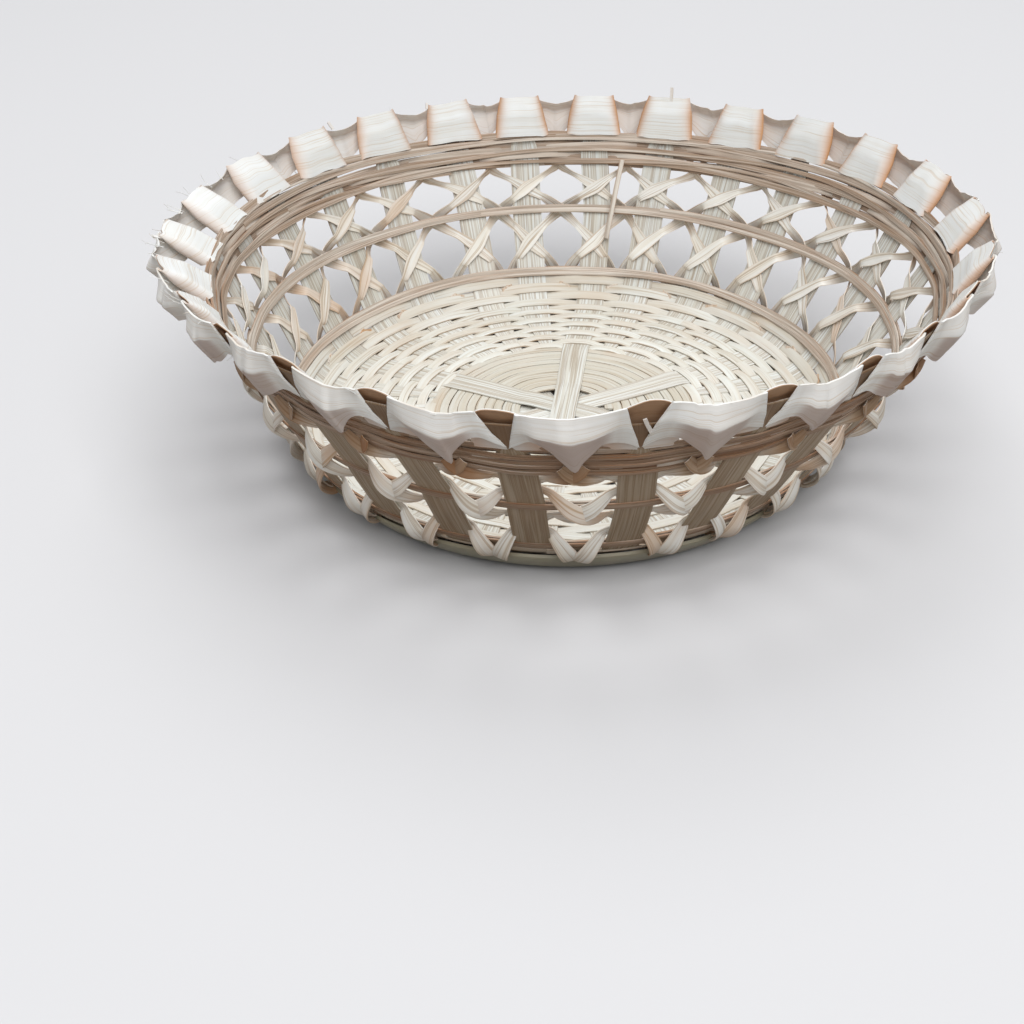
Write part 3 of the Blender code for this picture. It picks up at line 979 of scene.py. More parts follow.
# In these finishes back is painted shade on outer faces.
# The grey-blue cast of the stake and weaver pale colours is the cool daylight painted in.
# The stake's dark stain colour paints the shade on the stake tops in the border's pockets.
STAKE_FINISH = SplintFinish(
    name="stake_wood",
    pale=(0.79, 0.82, 0.80),
    deep=(0.70, 0.69, 0.62),
    line=(0.40, 0.32, 0.23),
    stain=(0.27, 0.19, 0.12),
    back=(0.60, 0.48, 0.37),
    edge=0.25,
    stripes=2100.0,
    line_share=0.44,
)
WEAVER_FINISH = SplintFinish(
    name="weaver_wood",
    pale=(0.76, 0.78, 0.74),
    deep=(0.68, 0.66, 0.58),
    line=(0.48, 0.41, 0.31),
    stain=(0.50, 0.30, 0.14),
    back=(0.62, 0.48, 0.36),
    edge=0.4,
    stripes=1500.0,
    line_share=0.34,
)
HOOP_FINISH = SplintFinish(
    name="hoop_wood",
    pale=(0.74, 0.68, 0.60),
    deep=(0.52, 0.42, 0.33),
    line=(0.25, 0.17, 0.11),
    stain=(0.40, 0.20, 0.09),
    back=(0.70, 0.59, 0.50),
    edge=0.7,
    stripes=2300.0,
    line_share=0.46,
    bump=0.6,
)
LACING_FINISH = SplintFinish(
    name="lacing_wood",
    pale=(0.89, 0.90, 0.87),
    deep=(0.82, 0.78, 0.69),
    line=(0.44, 0.33, 0.21),
    stain=(0.60, 0.34, 0.16),
    back=(0.52, 0.40, 0.30),
    edge=0.3,
    stripes=1550.0,
    line_share=0.40,
)
# Its stain colour paints the shade and the glow of light through the folds, back paints the shade
# The border's bluish pale is the cool light and sky reflection on its straps, painted in.
# in the pockets and under paints the shade below the crease.
BORDER_FINISH = SplintFinish(
    name="border_wood",
    pale=(0.89, 0.925, 0.93),
    deep=(0.85, 0.87, 0.85),
    line=(0.68, 0.60, 0.49),
    stain=(0.62, 0.31, 0.13),
    back=(0.53, 0.34, 0.22),
    under=(0.62, 0.53, 0.50),
    edge=0.0,
    stripes=2600.0,
    line_share=0.34,
    glow=0.16,
)
# The foot band's colours are its grey-green darkened to paint the shade it stands in under the basket.
FOOT_FINISH = SplintFinish(
    name="foot_skin_wood",
    pale=(0.34, 0.34, 0.26),
    deep=(0.29, 0.27, 0.20),
    line=(0.22, 0.20, 0.14),
    stain=(0.40, 0.30, 0.16),
    edge=0.2,
    stripes=500.0,
    line_share=0.3,
    roughness=0.4,
    bump=0.1,
    glow=0.0,
)


@dataclass
class Ribs:
    """Six splints that cross the base, and the stakes between them.

    Attributes:
        body: The body that they follow.
        width: Their width on the wall.
        centre_width: Width of a crossing splint in the middle of the base.
        tip_width: Width of a stake's inner end.
        thickness: Their thickness.
        clearance: Space between two splints that cross.
        stack_ends: From where to where the layers of the crossing splints come together.
        inner_edge: Where the stakes begin.
        dive: Over which length the crossing splints come to the stakes' layer.
        above_band: How far the ribs stand above the band.
        pinch_share: Share of the width that is left where the border pinches a rib.
        pinch_above: How far above the band that is narrowest.
        pinch_reach: How far to both sides it reaches.
        crease: How far the middle stands out there.
        crease_reach: How far that reaches.
        cup: How far the middle stands out elsewhere.
        shade_from: From where on the outer face gets painted shade.
        shade_reach: Over which length that painted shade comes in.
        upper: Stakes from which the upper crossing splints run, from below.
        lower: The same for the lower ones, from above.
    """

    body: BodyShape
    width: float = 10.0 * MM
    centre_width: float = 7.7 * MM
    tip_width: float = 3.2 * MM
    thickness: float = 0.55 * MM
    clearance: float = 0.05 * MM
    stack_ends: tuple[float, float] = (10.0 * MM, 16.0 * MM)
    inner_edge: float = 39.2 * MM
    dive: float = 3.4 * MM
    above_band: float = 8.0 * MM
    pinch_share: float = 0.62
    pinch_above: float = 0.4 * MM
    pinch_reach: float = 3.2 * MM
    crease: float = 0.9 * MM
    crease_reach: float = 3.5 * MM
    cup: float = 0.12 * MM
    shade_from: float = 60.0 * MM
    shade_reach: float = 12.0 * MM
    upper: tuple[int, ...] = (2, 11, 6)
    lower: tuple[int, ...] = (0, 4, 9)

    def _half_width(self, along: np.ndarray, crossing: bool) -> np.ndarray:
        """Half the width at places along a rib.

        Args:
            along: Places, from the middle of the base.
            crossing: True for a splint that crosses the base.

        Returns:
            Half the width at each place.
        """
        inner = self.centre_width if crossing else self.tip_width
        start = 0.0 if crossing else self.inner_edge
        width = inner + (self.width - inner) * share_of(along, start, self.body.floor_radius - start)
        pinch = bell(along - self.body.band_top - self.pinch_above, self.pinch_reach)
        return width * (1 - (1 - self.pinch_share) * pinch) / 2

    def _rib(
        self, index: int, along: np.ndarray, layer: np.ndarray, crossing: bool, rng: Generator
    ) -> Splint:
        """One rib through signed places along it.

        Args:
            index: The stake's number.
            along: Places, negative on the far half.
            layer: How far outside the middle of the stakes.
            crossing: True for a splint that crosses the base.
            rng: The random source.

        Returns:
            The rib.
        """
        body = self.body
        away = np.abs(along)
        gaps = np.where(along < 0, index + body.count / 2, index)
        outward = body.outward(gaps, away)
        angle = index * body.gap_angle
        sideways = np.array([-math.sin(angle), math.cos(angle), 0.0])
        drift = wander(rng, along, 0.35 * MM, 0.11)
        half_width = self._half_width(away, crossing) * rng.uniform(0.95, 1.04)
        side = np.where(along < 0, -1.0, 1.0)
        turned = body.angle(gaps, away)
        across = np.stack([-np.sin(turned), np.cos(turned), np.zeros_like(turned)], axis=1)
        tone = float(spread(rng, 0.8))
        # a faint real stain, and painted shade that turns the stake tops above the band dark brown in the
        # pockets
        stain = 0.05 + wander(rng, along, 0.05, 0.05) + 0.9 * share_of(away, body.band_top, MM)
        crease = bell(away - body.band_top, self.crease_reach) * self.crease + self.cup
        return Splint(
            places=body.place(gaps, away, layer) + sideways * drift[:, None],
            across=side[:, None] * across,
            face=outward,
            half_width=half_width,
            fold=outward * crease[:, None],
            tone=tone,
            stain=np.clip(stain, 0, 1),
            # painted shade on the outer face towards the wall
            rear=share_of(away, self.shade_from, self.shade_reach),
        )

    def build(self, kit: Kit) -> None:
        """Build both kinds of ribs.

        Args:
            kit: What the splints are built with.
        """
        body = self.body
        top = body.band_top + self.above_band
        bundle = Bundle(
            "ribs", Slot.STAKE, [], self.thickness, edge_roughness=0.035, ripple=0.2 * MM, fold_softness=0.9
        )
        wall = np.linspace(body.floor_radius, top, 46)
        half = np.concatenate([np.linspace(0.0, body.floor_radius, 40)[:-1], wall])
        along = np.concatenate([-half[::-1], half[1:]])
        step = self.thickness + self.clearance
        keys = [0.0, *self.stack_ends, self.inner_edge, self.inner_edge + self.dive, top]
        for side, indices in ((-1, self.upper), (1, self.lower)):
            for level, index in enumerate(indices, start=1):
                heights = np.array([level, level, 1, 1, 0, 0]) * side * step
                layer = np.interp(np.abs(along), keys, heights)
                bundle.splints.append(self._rib(index, along, layer, True, kit.rng))
        crossing = [index % (body.count // 2) for index in self.upper + self.lower]
        half = np.concatenate([np.linspace(self.inner_edge, body.floor_radius, 16)[:-1], wall])
        for index in range(body.count):
            if index % (body.count // 2) not in crossing:
                bundle.splints.append(self._rib(index, half, np.zeros_like(half), False, kit.rng))
        bundle.nodes = [f"through_splint_{word}_{n}" for word in ("upper", "lower") for n in (1, 2, 3)]
        bundle.nodes += [f"stake_{n:02d}" for n in range(1, 15)]
        bundle.build(kit)


@dataclass
class Rings:
    """Shared way to lay a strand round the basket.

    Attributes:
        body: The body that it follows.
        on_stake: How far from the stakes' middle it lies where it passes one.
        steps: Points for each gap.
        slack: How much nearer it lies between two stakes.
        tuck_reach: Over how many gaps its ends bend away.
        tuck_out: How far the end that lies on top bends outward.
        tuck_in: The same for the end below.
    """

    body: BodyShape
    on_stake: float = 0.56 * MM
    steps: int = 8
    slack: float = 0.25 * MM
    tuck_reach: float = 0.35
    tuck_out: float = 0.35 * MM
    tuck_in: float = -0.1 * MM

    def ring(
        self,
        rng: Generator,
        along: float,
        width: float,
        phase: int | None,
        side: float = 1.0,
        drift: float = 0.2 * MM,
        tone: float = 0.0,
        stain: float = 0.1,
        rear: float = 0.0,
        lap: float = 0.7,
    ) -> Splint:
        """One strand that goes once round, with its two ends lapped.

        Args:
            rng: The random source.
            along: Where along the body it runs.
            width: Its width.
            phase: 0 or 1 for a strand woven in and out, which passes outside even or odd stakes, or
                None for one that stays on one side.
            side: 1 outside or -1 inside, for a strand that stays on one side.
            drift: How far it wanders up and down.
            tone: Its shade.
            stain: How brown it is, with stains and painted shade.
            rear: How much painted shade darkens its outer face.
            lap: How many gaps its ends overlap.

        Returns:
            The strand.
        """
        body = self.body
        count = int((body.count + lap) * self.steps)
        travelled = np.linspace(0.0, body.count + lap, count)
        gaps = travelled + rng.integers(0, body.count) - lap / 2 + 0.5
        if phase is None:
            between = 0.5 - 0.5 * np.cos(FULL_TURN * gaps)
            layer = side * (self.on_stake - self.slack * between)
        else:
            wave = np.cos(math.pi * gaps) * (1 if phase == 0 else -1)
            layer = self.on_stake * np.clip(1.5 * wave, -1, 1)
        end = np.minimum(travelled, travelled[-1] - travelled)
        tuck = bell(end, self.tuck_reach)
        place_along = along + wander(rng, gaps, drift, 9.0)
        layer = layer + tuck * np.where(travelled < lap, self.tuck_out, self.tuck_in)
        places = body.place(gaps, place_along, layer)
        return Splint.on_path(
            places,
            body.outward(gaps, place_along),
            width * (1 + wander(rng, gaps, 0.08, 5.0)),
            tone=tone,
            stain=np.clip(stain + wander(rng, gaps, 0.12, 4.0), 0, 1),
            rear=rear,
        )


@dataclass
class BaseWeave(Rings):
    """Flat rows between the crossing splints, and woven rows out to the lower hoop.

    Attributes:
        first_row: Where the flat rows begin.
        inner_edge: Where they end and the woven rows begin.
        inner_rows: Number of flat rows.
        woven_rows: Number of woven rows.
        below_hoop: How far from the lower hoop the last row ends.
        lower_splints: Stakes whose splints cross below the flat rows.
        rise: How far the flat rows rise over such a splint.
        rise_reach: How far beside its middle that reaches.
    """

    first_row: float = 12.2 * MM
    inner_edge: float = 39.6 * MM
    inner_rows: int = 10
    woven_rows: int = 14
    below_hoop: float = 1.6 * MM
    lower_splints: tuple[int, ...] = (0, 4, 9, 13, 17, 22)
    rise: float = 0.25 * MM
    rise_reach: float = 4.5 * MM
    thickness: float = 0.6 * MM
    on_stake: float = 0.48 * MM

    def _inner(self, rng: Generator) -> Splint:
        """The flat rows, as one spiral.

        Args:
            rng: The random source.

        Returns:
            The spiral.
        """
        body = self.body
        pitch = (self.inner_edge - self.first_row) / self.inner_rows
        turns = np.linspace(0.0, self.inner_rows, self.inner_rows * 72)
        gaps = turns * body.count
        along = self.first_row + pitch * (turns + 0.5) + wander(rng, gaps, 0.12 * MM, 11.0)
        half = body.count // 2
        away = (gaps[:, None] - np.array(self.lower_splints) + half) % body.count - half
        near = np.min(np.abs(away), axis=1) * body.gap_angle * along
        places = body.place(gaps, along, -self.rise * bell(near, self.rise_reach))
        edge = share_of(turns, self.inner_rows - 2.2, 2.2)
        stain = 0.12 + 0.4 * edge * (0.5 + 0.5 * np.sin(gaps * 0.9))
        return Splint.on_path(places, body.outward(gaps, along), pitch * 0.96, tone=-1.1, stain=stain)

    def build(self, kit: Kit) -> None:
        """Build the base.

        Args:
            kit: What the splints are built with.
        """
        rng = kit.rng
        bundle = Bundle(
            "base_weave",
            Slot.WEAVER,
            [],
            self.thickness,
            edge_roughness=0.09,
            ripple=0.1 * MM,
            fold_softness=0.9,
        )
        bundle.splints.append(self._inner(rng))
        end = self.body.lower_hoop - self.below_hoop
        pitch = (end - self.inner_edge) / self.woven_rows
        for row in range(self.woven_rows):
            along = self.inner_edge + pitch * (row + 0.5)
            late = row / self.woven_rows
            # the woven rows' outer faces get half-strength painted shade
            bundle.splints.append(
                self.ring(
                    rng,
                    along,
                    pitch * rng.uniform(0.98, 1.06),
                    row % 2,
                    drift=0.18 * MM,
                    tone=float(0.45 - 0.4 * late + spread(rng, 0.35)),
                    stain=0.06 + 0.16 * late**2,
                    rear=0.5,
                )
            )
        bundle.nodes = ["base_weaver_inner", "base_weaver_floor", "base_weaver_corner"]
        bundle.build(kit)


@dataclass
class Hoops(Rings):
    """The lower and the middle hoop.

    Attributes:
        strands: Strands of each hoop. Each has its height in the hoop and its width, its side of the
        stakes, how far it wanders, its tone, how brown it is and how much painted shade its outer face gets.
    """

    thickness: float = 0.6 * MM
    strands: Table = (
        (0.0, 2.7, 1.0, 0.15, 0.1, 0.2, 0.9),
        (0.5, 1.9, -1.0, 0.5, 0.8, 0.1, 0.0),
        (-0.8, 1.7, -1.5, 0.6, 0.5, 0.1, 0.0),
    )

    def build(self, kit: Kit) -> None:
        """Build both hoops.

        Args:
            kit: What the splints are built with.
        """
        for name, place in (("lower_hoop", self.body.lower_hoop), ("middle_hoop", self.body.middle_hoop)):
            bundle = Bundle(
                name, Slot.HOOP, [], self.thickness, edge_roughness=0.08, ripple=0.15 * MM, fold_softness=0.9
            )
            for up, width, side, drift, *colour_and_shade in self.strands:
                along = place + up * MM
                bundle.splints.append(
                    self.ring(kit.rng, along, width * MM, None, side, drift * MM, *colour_and_shade)
                )
            bundle.nodes = [f"{name}_inner", f"{name}_outer"]
            bundle.build(kit)


@dataclass
class UpperBand(Rings):
    """Thin rows inside and outside the stakes above the open wall.

    Attributes:
        rows: Number of rows on each side.
        row_width: Their width.
        phases: Which inner rows are woven in and out, and how.
        bare_stake: The stake that stands inside the inner rows.
        bare_reach: How far to both sides of it, in degrees.
        bare_depth: How far the inner rows go outward there.
        thin_rows: Heights of the thin loose rows, as shares of the band's height.
        hanging: Gap and height above the band's foot of a loose strand, and its length.
    """

    rows: int = 6
    row_width: float = 2.15 * MM
    thickness: float = 0.4 * MM
    phases: tuple[int | None, ...] = (None, 0, None, 1, None, 0)
    bare_stake: int = 7
    bare_reach: float = 5.5
    bare_depth: float = 1.7 * MM
    thin_rows: tuple[float, ...] = (0.12, 0.45, 0.8)
    hanging: tuple[float, float, float] = (5.56, 1.5, 29.0)

    def _inner(self, along: float, row: int, rng: Generator) -> Splint:
        """One inner row, which passes behind one of the stakes.

        Args:
            along: Where along the body it runs.
            row: Its number from below.
            rng: The random source.

        Returns:
            The row.
        """
        phase = self.phases[row]
        tone = 0.2 + float(spread(rng, 1.2))
        side = -1.0 if row % 4 else -1.5
        width = self.row_width * rng.uniform(0.75, 1.05)
        splint = self.ring(rng, along, width, phase, side, drift=0.8 * MM, tone=tone, stain=0.2)
        if phase is None:
            angle = np.degrees(np.arctan2(splint.places[:, 1], splint.places[:, 0]))
            away = angle - 360.0 * self.bare_stake / self.body.count
            away = (away + 180.0) % 360.0 - 180.0
            hidden = np.exp(-((away / self.bare_reach) ** 4))
            splint.places += splint.face * (hidden * self.bare_depth)[:, None]
        return splint

    def _outer(self, along: float, row: int, rng: Generator) -> Splint:
        """One outer row.

        Args:
            along: Where along the body it runs.
            row: Its number from below.
            rng: The random source.

        Returns:
            The row.
        """
        width = self.row_width * rng.uniform(0.9, 1.15)
        tone = float(spread(rng, 1.2))
        side = 1.1 if row % 2 else 1.6
        # full painted shade on the outer face of the outer rows
        return self.ring(rng, along, width, None, side, drift=0.6 * MM, tone=tone, stain=0.25, rear=1.0)

    def _hanging(self) -> Splint:
        """The loose strand that hangs inside the wall.

        Returns:
            The strand.
        """
        gap, height, length = self.hanging
        at = np.linspace(0.0, 1.0, 9)
        gaps, along = gap + 0.2 * at, self.body.band_foot + (height - length * at) * MM
        places = self.body.place(gaps, along, (-1.9 - 1.4 * np.sin(np.pi * at)) * MM)
        return Splint.on_path(places, self.body.outward(gaps, along), 1.7 * MM, tone=0.9)

    def build(self, kit: Kit) -> None:
        """Build the band.

        Args:
            kit: What the splints are built with.
        """
        body = self.body
        rng = kit.rng
        bundle = Bundle(
            "upper_band",
            Slot.HOOP,
            [],
            self.thickness,
            edge_roughness=0.1,
            ripple=0.2 * MM,
            fold_softness=0.9,
        )
        pitch = body.band_height / self.rows
        for row in range(self.rows):
            along = body.band_foot + pitch * (row + 0.5)
            bundle.splints.append(self._inner(along + float(spread(rng, 0.3 * MM)), row, rng))
            bundle.splints.append(self._outer(along + float(spread(rng, 0.3 * MM)), row, rng))
        for share in self.thin_rows:
            along = body.band_foot + body.band_height * share
            thin = self.row_width * rng.uniform(0.45, 0.6)
            tone = float(spread(rng, 1.0))
            # the outer thin row gets painted shade on its outer face
            for side, drift, *colour_and_shade in ((2.3, 1.1, tone, 0.3, 0.8), (-1.9, 1.0, -tone, 0.1, 0.0)):
                bundle.splints.append(self.ring(rng, along, thin, None, side, drift * MM, *colour_and_shade))
        bundle.splints.append(self._hanging())
        bundle.nodes = [f"upper_band_row_{n}" for n in (1, 2, 3)]
        bundle.build(kit)


@dataclass
class Lacing:
    """Slanting strips that cross inside every stake and outside every hoop.

    Attributes:
        body: The body that they are laced to.
        width: Their width.
        thickness: Their thickness.
        on_top: How much farther out the leg on top lies at a crossing outside a hoop.
        inside: Half the distance of the two legs at a crossing inside a stake.
        cup: How far the middle of a strip stands out.
        course: Keys of one leg. Each has the gaps from its start, the hoop or band that its height is
            measured from, that height and the distance outward, how far the strip is rolled in degrees,
            its share of the width and how brown it is.
        stake_keys: Keys at which a leg crosses another inside a stake.
        hoop_keys: Keys at which it does so outside the lower and the middle hoop.
        shade_from: From how many gaps on the outer face gets painted shade.
    """

    body: BodyShape
    width: float = 4.7 * MM
    thickness: float = 0.4 * MM
    on_top: float = 0.5 * MM
    inside: float = 0.3 * MM
    cup: float = 0.22 * MM
    course: Table = (
        (-0.06, 0, -4.8, -0.4, 0, 0.85, 0.4),
        (-0.02, 0, -6.6, 0.8, 0, 0.95, 0.5),
        (0.02, 0, -5.6, 2.1, 12, 1.0, 0.25),
        (0.06, 0, -2.6, 2.6, 22, 1.0, 0.0),
        (0.11, 0, 0.2, 2.4, 30, 0.94, 0.0),
        (0.17, 0, 2.8, 1.4, 30, 0.82, 0.0),
        (0.23, 0, 4.8, 0.2, 24, 0.68, 0.05),
        (0.29, 0, 6.4, -0.9, 10, 0.62, 0.05),
        (0.50, 0, 11.4, -0.9, 0, 0.86, 0.0),
        (0.71, 1, -7.2, -0.9, 8, 0.6, 0.0),
        (0.77, 1, -5.6, 0.1, 22, 0.6, 0.1),
        (0.84, 1, -3.8, 1.3, 32, 0.7, 0.2),
        (0.92, 1, -1.8, 2.1, 38, 0.84, 0.05),
        (1.00, 1, 0.0, 2.4, 38, 0.94, 0.0),
        (1.08, 1, 1.5, 2.2, 36, 0.9, 0.0),
        (1.15, 1, 2.7, 1.4, 30, 0.78, 0.0),
        (1.22, 1, 3.8, 0.2, 22, 0.64, 0.05),
        (1.29, 1, 4.8, -0.9, 8, 0.56, 0.0),
        (1.50, 1, 8.0, -0.9, 0, 0.82, 0.0),
        (1.71, 1, 11.3, -0.9, 8, 0.52, 0.0),
        (1.78, 1, 12.4, -0.2, 30, 0.45, 0.1),
        (1.86, 1, 13.7, 0.8, 48, 0.52, 0.2),
        (1.95, 1, 15.2, 1.6, 45, 0.66, 0.25),
        (2.04, 2, 1.2, 1.8, 36, 0.66, 0.3),
        (2.10, 2, 3.2, 1.5, 20, 0.5, 0.3),
    )
    stake_keys: tuple[float, float] = (8.0, 18.0)
    hoop_keys: tuple[float, float] = (3.5, 13.0)
    shade_from: float = 1.72

    def _leg(self, start: float, side: int, rng: Generator) -> Splint:
        """One leg, from its curl under the lower hoop to the band.

        Args:
            start: The gap of its curl.
            side: 1 for a leg that goes up to the right, -1 to the left, seen from outside.
            rng: The random source.

        Returns:
            The leg.
        """
        body = self.body
        marks = (body.lower_hoop, body.middle_hoop, body.band_foot)
        table = np.array(self.course)
        keys = np.arange(len(table), dtype=float)
        at = np.linspace(keys[0], keys[-1], 121)
        table[:, 2] = np.array([marks[int(mark)] for mark in table[:, 1]]) + table[:, 2] * MM
        values = eased(keys, table, at)
        gaps = start + side * (values[:, 0] + float(spread(rng, 0.02)))
        along = values[:, 2] + float(spread(rng, 0.4 * MM)) * np.sin(at * 0.5)
        under = side < 0
        inner = sum(bell(at - key, 1.6) for key in self.stake_keys)
        outer = bell(at - self.hoop_keys[1 if under else 0], 2.2)
        layer = values[:, 3] * MM + self.on_top * outer
        layer = layer + inner * (-self.inside if under else self.inside)
        turn = np.radians(values[:, 4]) * rng.uniform(0.85, 1.1)
        width = self.width * values[:, 5] * rng.uniform(0.92, 1.06)
        warm = max(0.0, float(spread(rng, 0.85)) - 0.3)
        return Splint.on_path(
            body.place(gaps, along, layer),
            body.outward(gaps, along),
            width,
            tone=float(0.4 + spread(rng, 0.5)),
            stain=np.clip(values[:, 6] + warm + wander(rng, at, 0.08, 9.0), 0, 1),
            # painted shade on the outer face of the leg's upper end
            rear=share_of(values[:, 0], self.shade_from, 0.2),
            roll=-side * turn + wander(rng, at, 0.08, 12.0),
            cup=self.cup,
        )

    def build(self, kit: Kit) -> None:
        """Build every leg.

        Args:
            kit: What the splints are built with.
        """
        bundle = Bundle(
            "lacing", Slot.LACING, [], self.thickness, edge_roughness=0.05, ripple=0.2 * MM, fold_softness=0.5
        )
        for index in range(self.body.count):
            for side in (-1, 1):
                bundle.splints.append(self._leg(index + 0.5, side, kit.rng))
        bundle.nodes = [f"lacing_strip_{n:02d}" for n in range(1, 27)]
        bundle.build(kit)


@dataclass
class Border:
    """The pleated ribbon of the rim.

    Attributes:
        GAPS: Columns of a key that hold the gaps of the upper edge, of the crease and of the lower edge.
        body: The body that it stands on.
        thickness: Thickness of the ribbon.
        stations: Points between one key and the next.
        back_half: Half a period at the back, from the middle of a stake to the middle of a gap. Each key
        has the gaps, the height above the band and the distance outward of the upper edge, of the
        crease and of the lower edge, then how brown it is, as painted shade and glow in the folds and
        the middle of a gap, and how much painted shade its outer face gets, below 0 for its lower half.
        front_half: The same at the front, where the folds are narrower and the crease lies lower.
        square_flap: Heights of the lower edge, from a pocket's foot to the middle of a gap, where the
            flaps are cut square.
        square_at: Stakes beside which they are, with how far to both sides that reaches.
        side_edge: Height of the lower edge where the flaps at the two sides end.
        tip_spread: How much the values of the key in the middle of a gap differ from gap to gap.
        tip_draw: Which of three random numbers moves each of them.
        raised: Place of a gap where the upper folds are pushed up, how far, and its reach.
        flare_shares: Columns of the distances outward that grow where the rim leans out, and how much.
        leans: How far the folds of some stakes are pushed aside, in gaps.
        fibres: How many fine fibres stand off the edges.
        fray_middle: Where most of them are, in gaps, and how far that spreads.
        fibre_width: Width of a fibre.
        slivers: Small split ends. Each has its gap, height above the band and distance outward, how far it
            goes round, up and outward from there, and its width.
    """

    GAPS = (0, 3, 6)

    body: BodyShape
    thickness: float = 0.45 * MM
    stations: int = 3
    back_half: Table = (
        (0.00, 12.0, -0.7, 0.00, 6.0, -1.7, 0.00, -1.0, -1.0, 0.02, 1.0),
        (0.12, 11.9, -0.7, 0.15, 6.0, -1.7, 0.20, -1.0, -1.0, 0.02, 1.0),
        (0.205, 11.9, -0.6, 0.24, 6.1, -1.5, 0.31, -1.0, -1.0, 0.25, 1.0),
        (0.25, 12.3, 0.2, 0.315, 6.4, -0.1, 0.375, -0.8, -0.2, 0.9, 0.5),
        (0.24, 12.0, 0.4, 0.30, 6.4, 0.7, 0.34, -0.2, 0.5, 0.9, 0.3),
        (0.20, 11.7, 0.35, 0.19, 6.1, 0.9, 0.16, 0.1, 0.8, 0.5, 0.3),
        (0.163, 11.5, 0.15, 0.095, 5.6, 0.9, 0.0, 0.2, 0.9, 0.2, 0.2),
        (0.17, 11.7, 0.5, 0.115, 6.4, 1.3, 0.06, 2.6, 1.3, 0.02, 0.0),
        (0.215, 11.5, 0.6, 0.19, 7.4, 1.8, 0.15, 4.8, 1.7, 0.2, 0.0),
        (0.29, 10.7, 0.7, 0.28, 7.9, 2.6, 0.25, 4.6, 2.3, 0.3, -0.8),
        (0.37, 10.0, 0.85, 0.365, 7.8, 3.3, 0.34, 2.2, 3.0, 0.25, -1.0),
        (0.44, 9.7, 1.0, 0.44, 7.6, 3.8, 0.43, -0.4, 3.6, 0.2, -1.0),
        (0.50, 9.6, 1.0, 0.50, 7.5, 3.9, 0.50, -2.4, 3.9, 0.2, -1.0),
    )
    front_half: Table = (
        (0.00, 11.8, -0.7, 0.00, 6.0, -1.7, 0.00, -1.0, -1.0, 0.02, 1.0),
        (0.11, 11.2, -0.7, 0.15, 6.0, -1.7, 0.20, -1.0, -1.0, 0.02, 1.0),
        (0.175, 10.3, -0.5, 0.23, 6.0, -1.3, 0.28, -1.0, -0.9, 0.1, 1.0),
        (0.195, 10.3, -0.2, 0.245, 6.0, -0.4, 0.30, -0.8, -0.4, 0.6, 0.5),
        (0.185, 10.6, 0.05, 0.22, 6.0, 0.4, 0.27, -0.2, 0.4, 0.6, 0.3),
        (0.165, 11.0, 0.1, 0.14, 5.8, 0.7, 0.12, 0.1, 0.8, 0.3, 0.2),
        (0.15, 11.4, 0.1, 0.08, 5.4, 0.9, 0.0, 0.2, 0.9, 0.05, 0.0),
        (0.165, 11.6, 0.3, 0.13, 6.6, 1.2, 0.09, 2.9, 1.3, 0.0, 0.0),
        (0.215, 11.6, 0.5, 0.20, 6.9, 1.9, 0.19, 4.8, 1.7, 0.02, 0.0),
        (0.29, 11.2, 0.7, 0.28, 6.8, 2.8, 0.27, 5.0, 2.5, 0.04, -0.9),
        (0.37, 10.9, 0.9, 0.365, 6.4, 3.6, 0.35, 3.0, 3.3, 0.06, -1.0),
        (0.44, 10.7, 1.0, 0.44, 6.1, 4.2, 0.43, 0.3, 4.0, 0.05, -1.0),
        (0.50, 10.7, 1.0, 0.50, 6.0, 4.3, 0.50, -2.3, 4.4, 0.05, -1.0),
    )
    square_flap: tuple[float, ...] = (0.2, 1.2, 1.0, -0.4, -1.5, -1.8, -1.9)
    square_at: Table = ((22.6, 1.3), (16.4, 0.9))
    side_edge: float = 1.0
    tip_spread: tuple[float, ...] = (0, 0.2, 0.2, 0.03, 0.4, 0.4, 0.05, 0.6, 0.4, 0, 0)
    tip_draw: tuple[int, ...] = (0, 0, 1, 2, 0, 1, 2, 0, 1, 0, 0)
    raised: tuple[float, float, float] = (20.1, 2.9, 0.8)
    flare_shares: tuple[tuple[int, float], ...] = ((5, 0.5), (8, 0.8))
    fibres: int = 60
    fray_middle: tuple[float, float] = (13.4, 1.9)
    fibre_width: float = 0.16 * MM
    slivers: Table = (
        (4.95, 9.5, -0.9, 0.02, 6.0, -0.1, 1.0),
        (20.03, 9.8, 0.2, 0.07, -5.6, 0.9, 0.9),
        (9.62, 10.5, 0.5, 0.03, 2.6, 0.3, 0.9),
        (8.28, 10.8, 0.2, -0.02, 1.9, 0.2, 0.8),
        (13.2, 9.6, 0.4, 0.06, 2.6, 0.8, 0.8),
    )
    leans: tuple[tuple[int, float], ...] = ((19, -0.05), (20, 0.05), (21, 0.06), (18, -0.03), (22, 0.05))

    def _period(self, index: int, rng: Generator) -> np.ndarray:
        """The keys from the middle of one gap to the middle of the next.

        Args:
            index: The number of the stake between them.
            rng: The random source, for the unevenness of hand work.

        Returns:
            One row for each key, without the last one, which belongs to the next period.
        """
        angle = index * self.body.gap_angle
        front = np.clip(0.5 - 0.9 * math.sin(angle), 0, 1)
        right = front * np.array(self.front_half) + (1 - front) * np.array(self.back_half)
        beside = abs(math.cos(angle)) ** 1.4
        # less painted fold shade and glow on the left side
        right[:, 9] *= 1 - 0.6 * max(0.0, -math.cos(angle)) ** 2
        right[6:, 7] += 0.85 * beside * (self.side_edge - right[6:, 7])
        square = sum(bell(index - at, reach) for at, reach in self.square_at)
        right[6:, 7] += square * (np.array(self.square_flap) - right[6:, 7])
        right[:, 8] -= 0.9 * beside * share_of(right[:, 6], 0.26, 0.24)
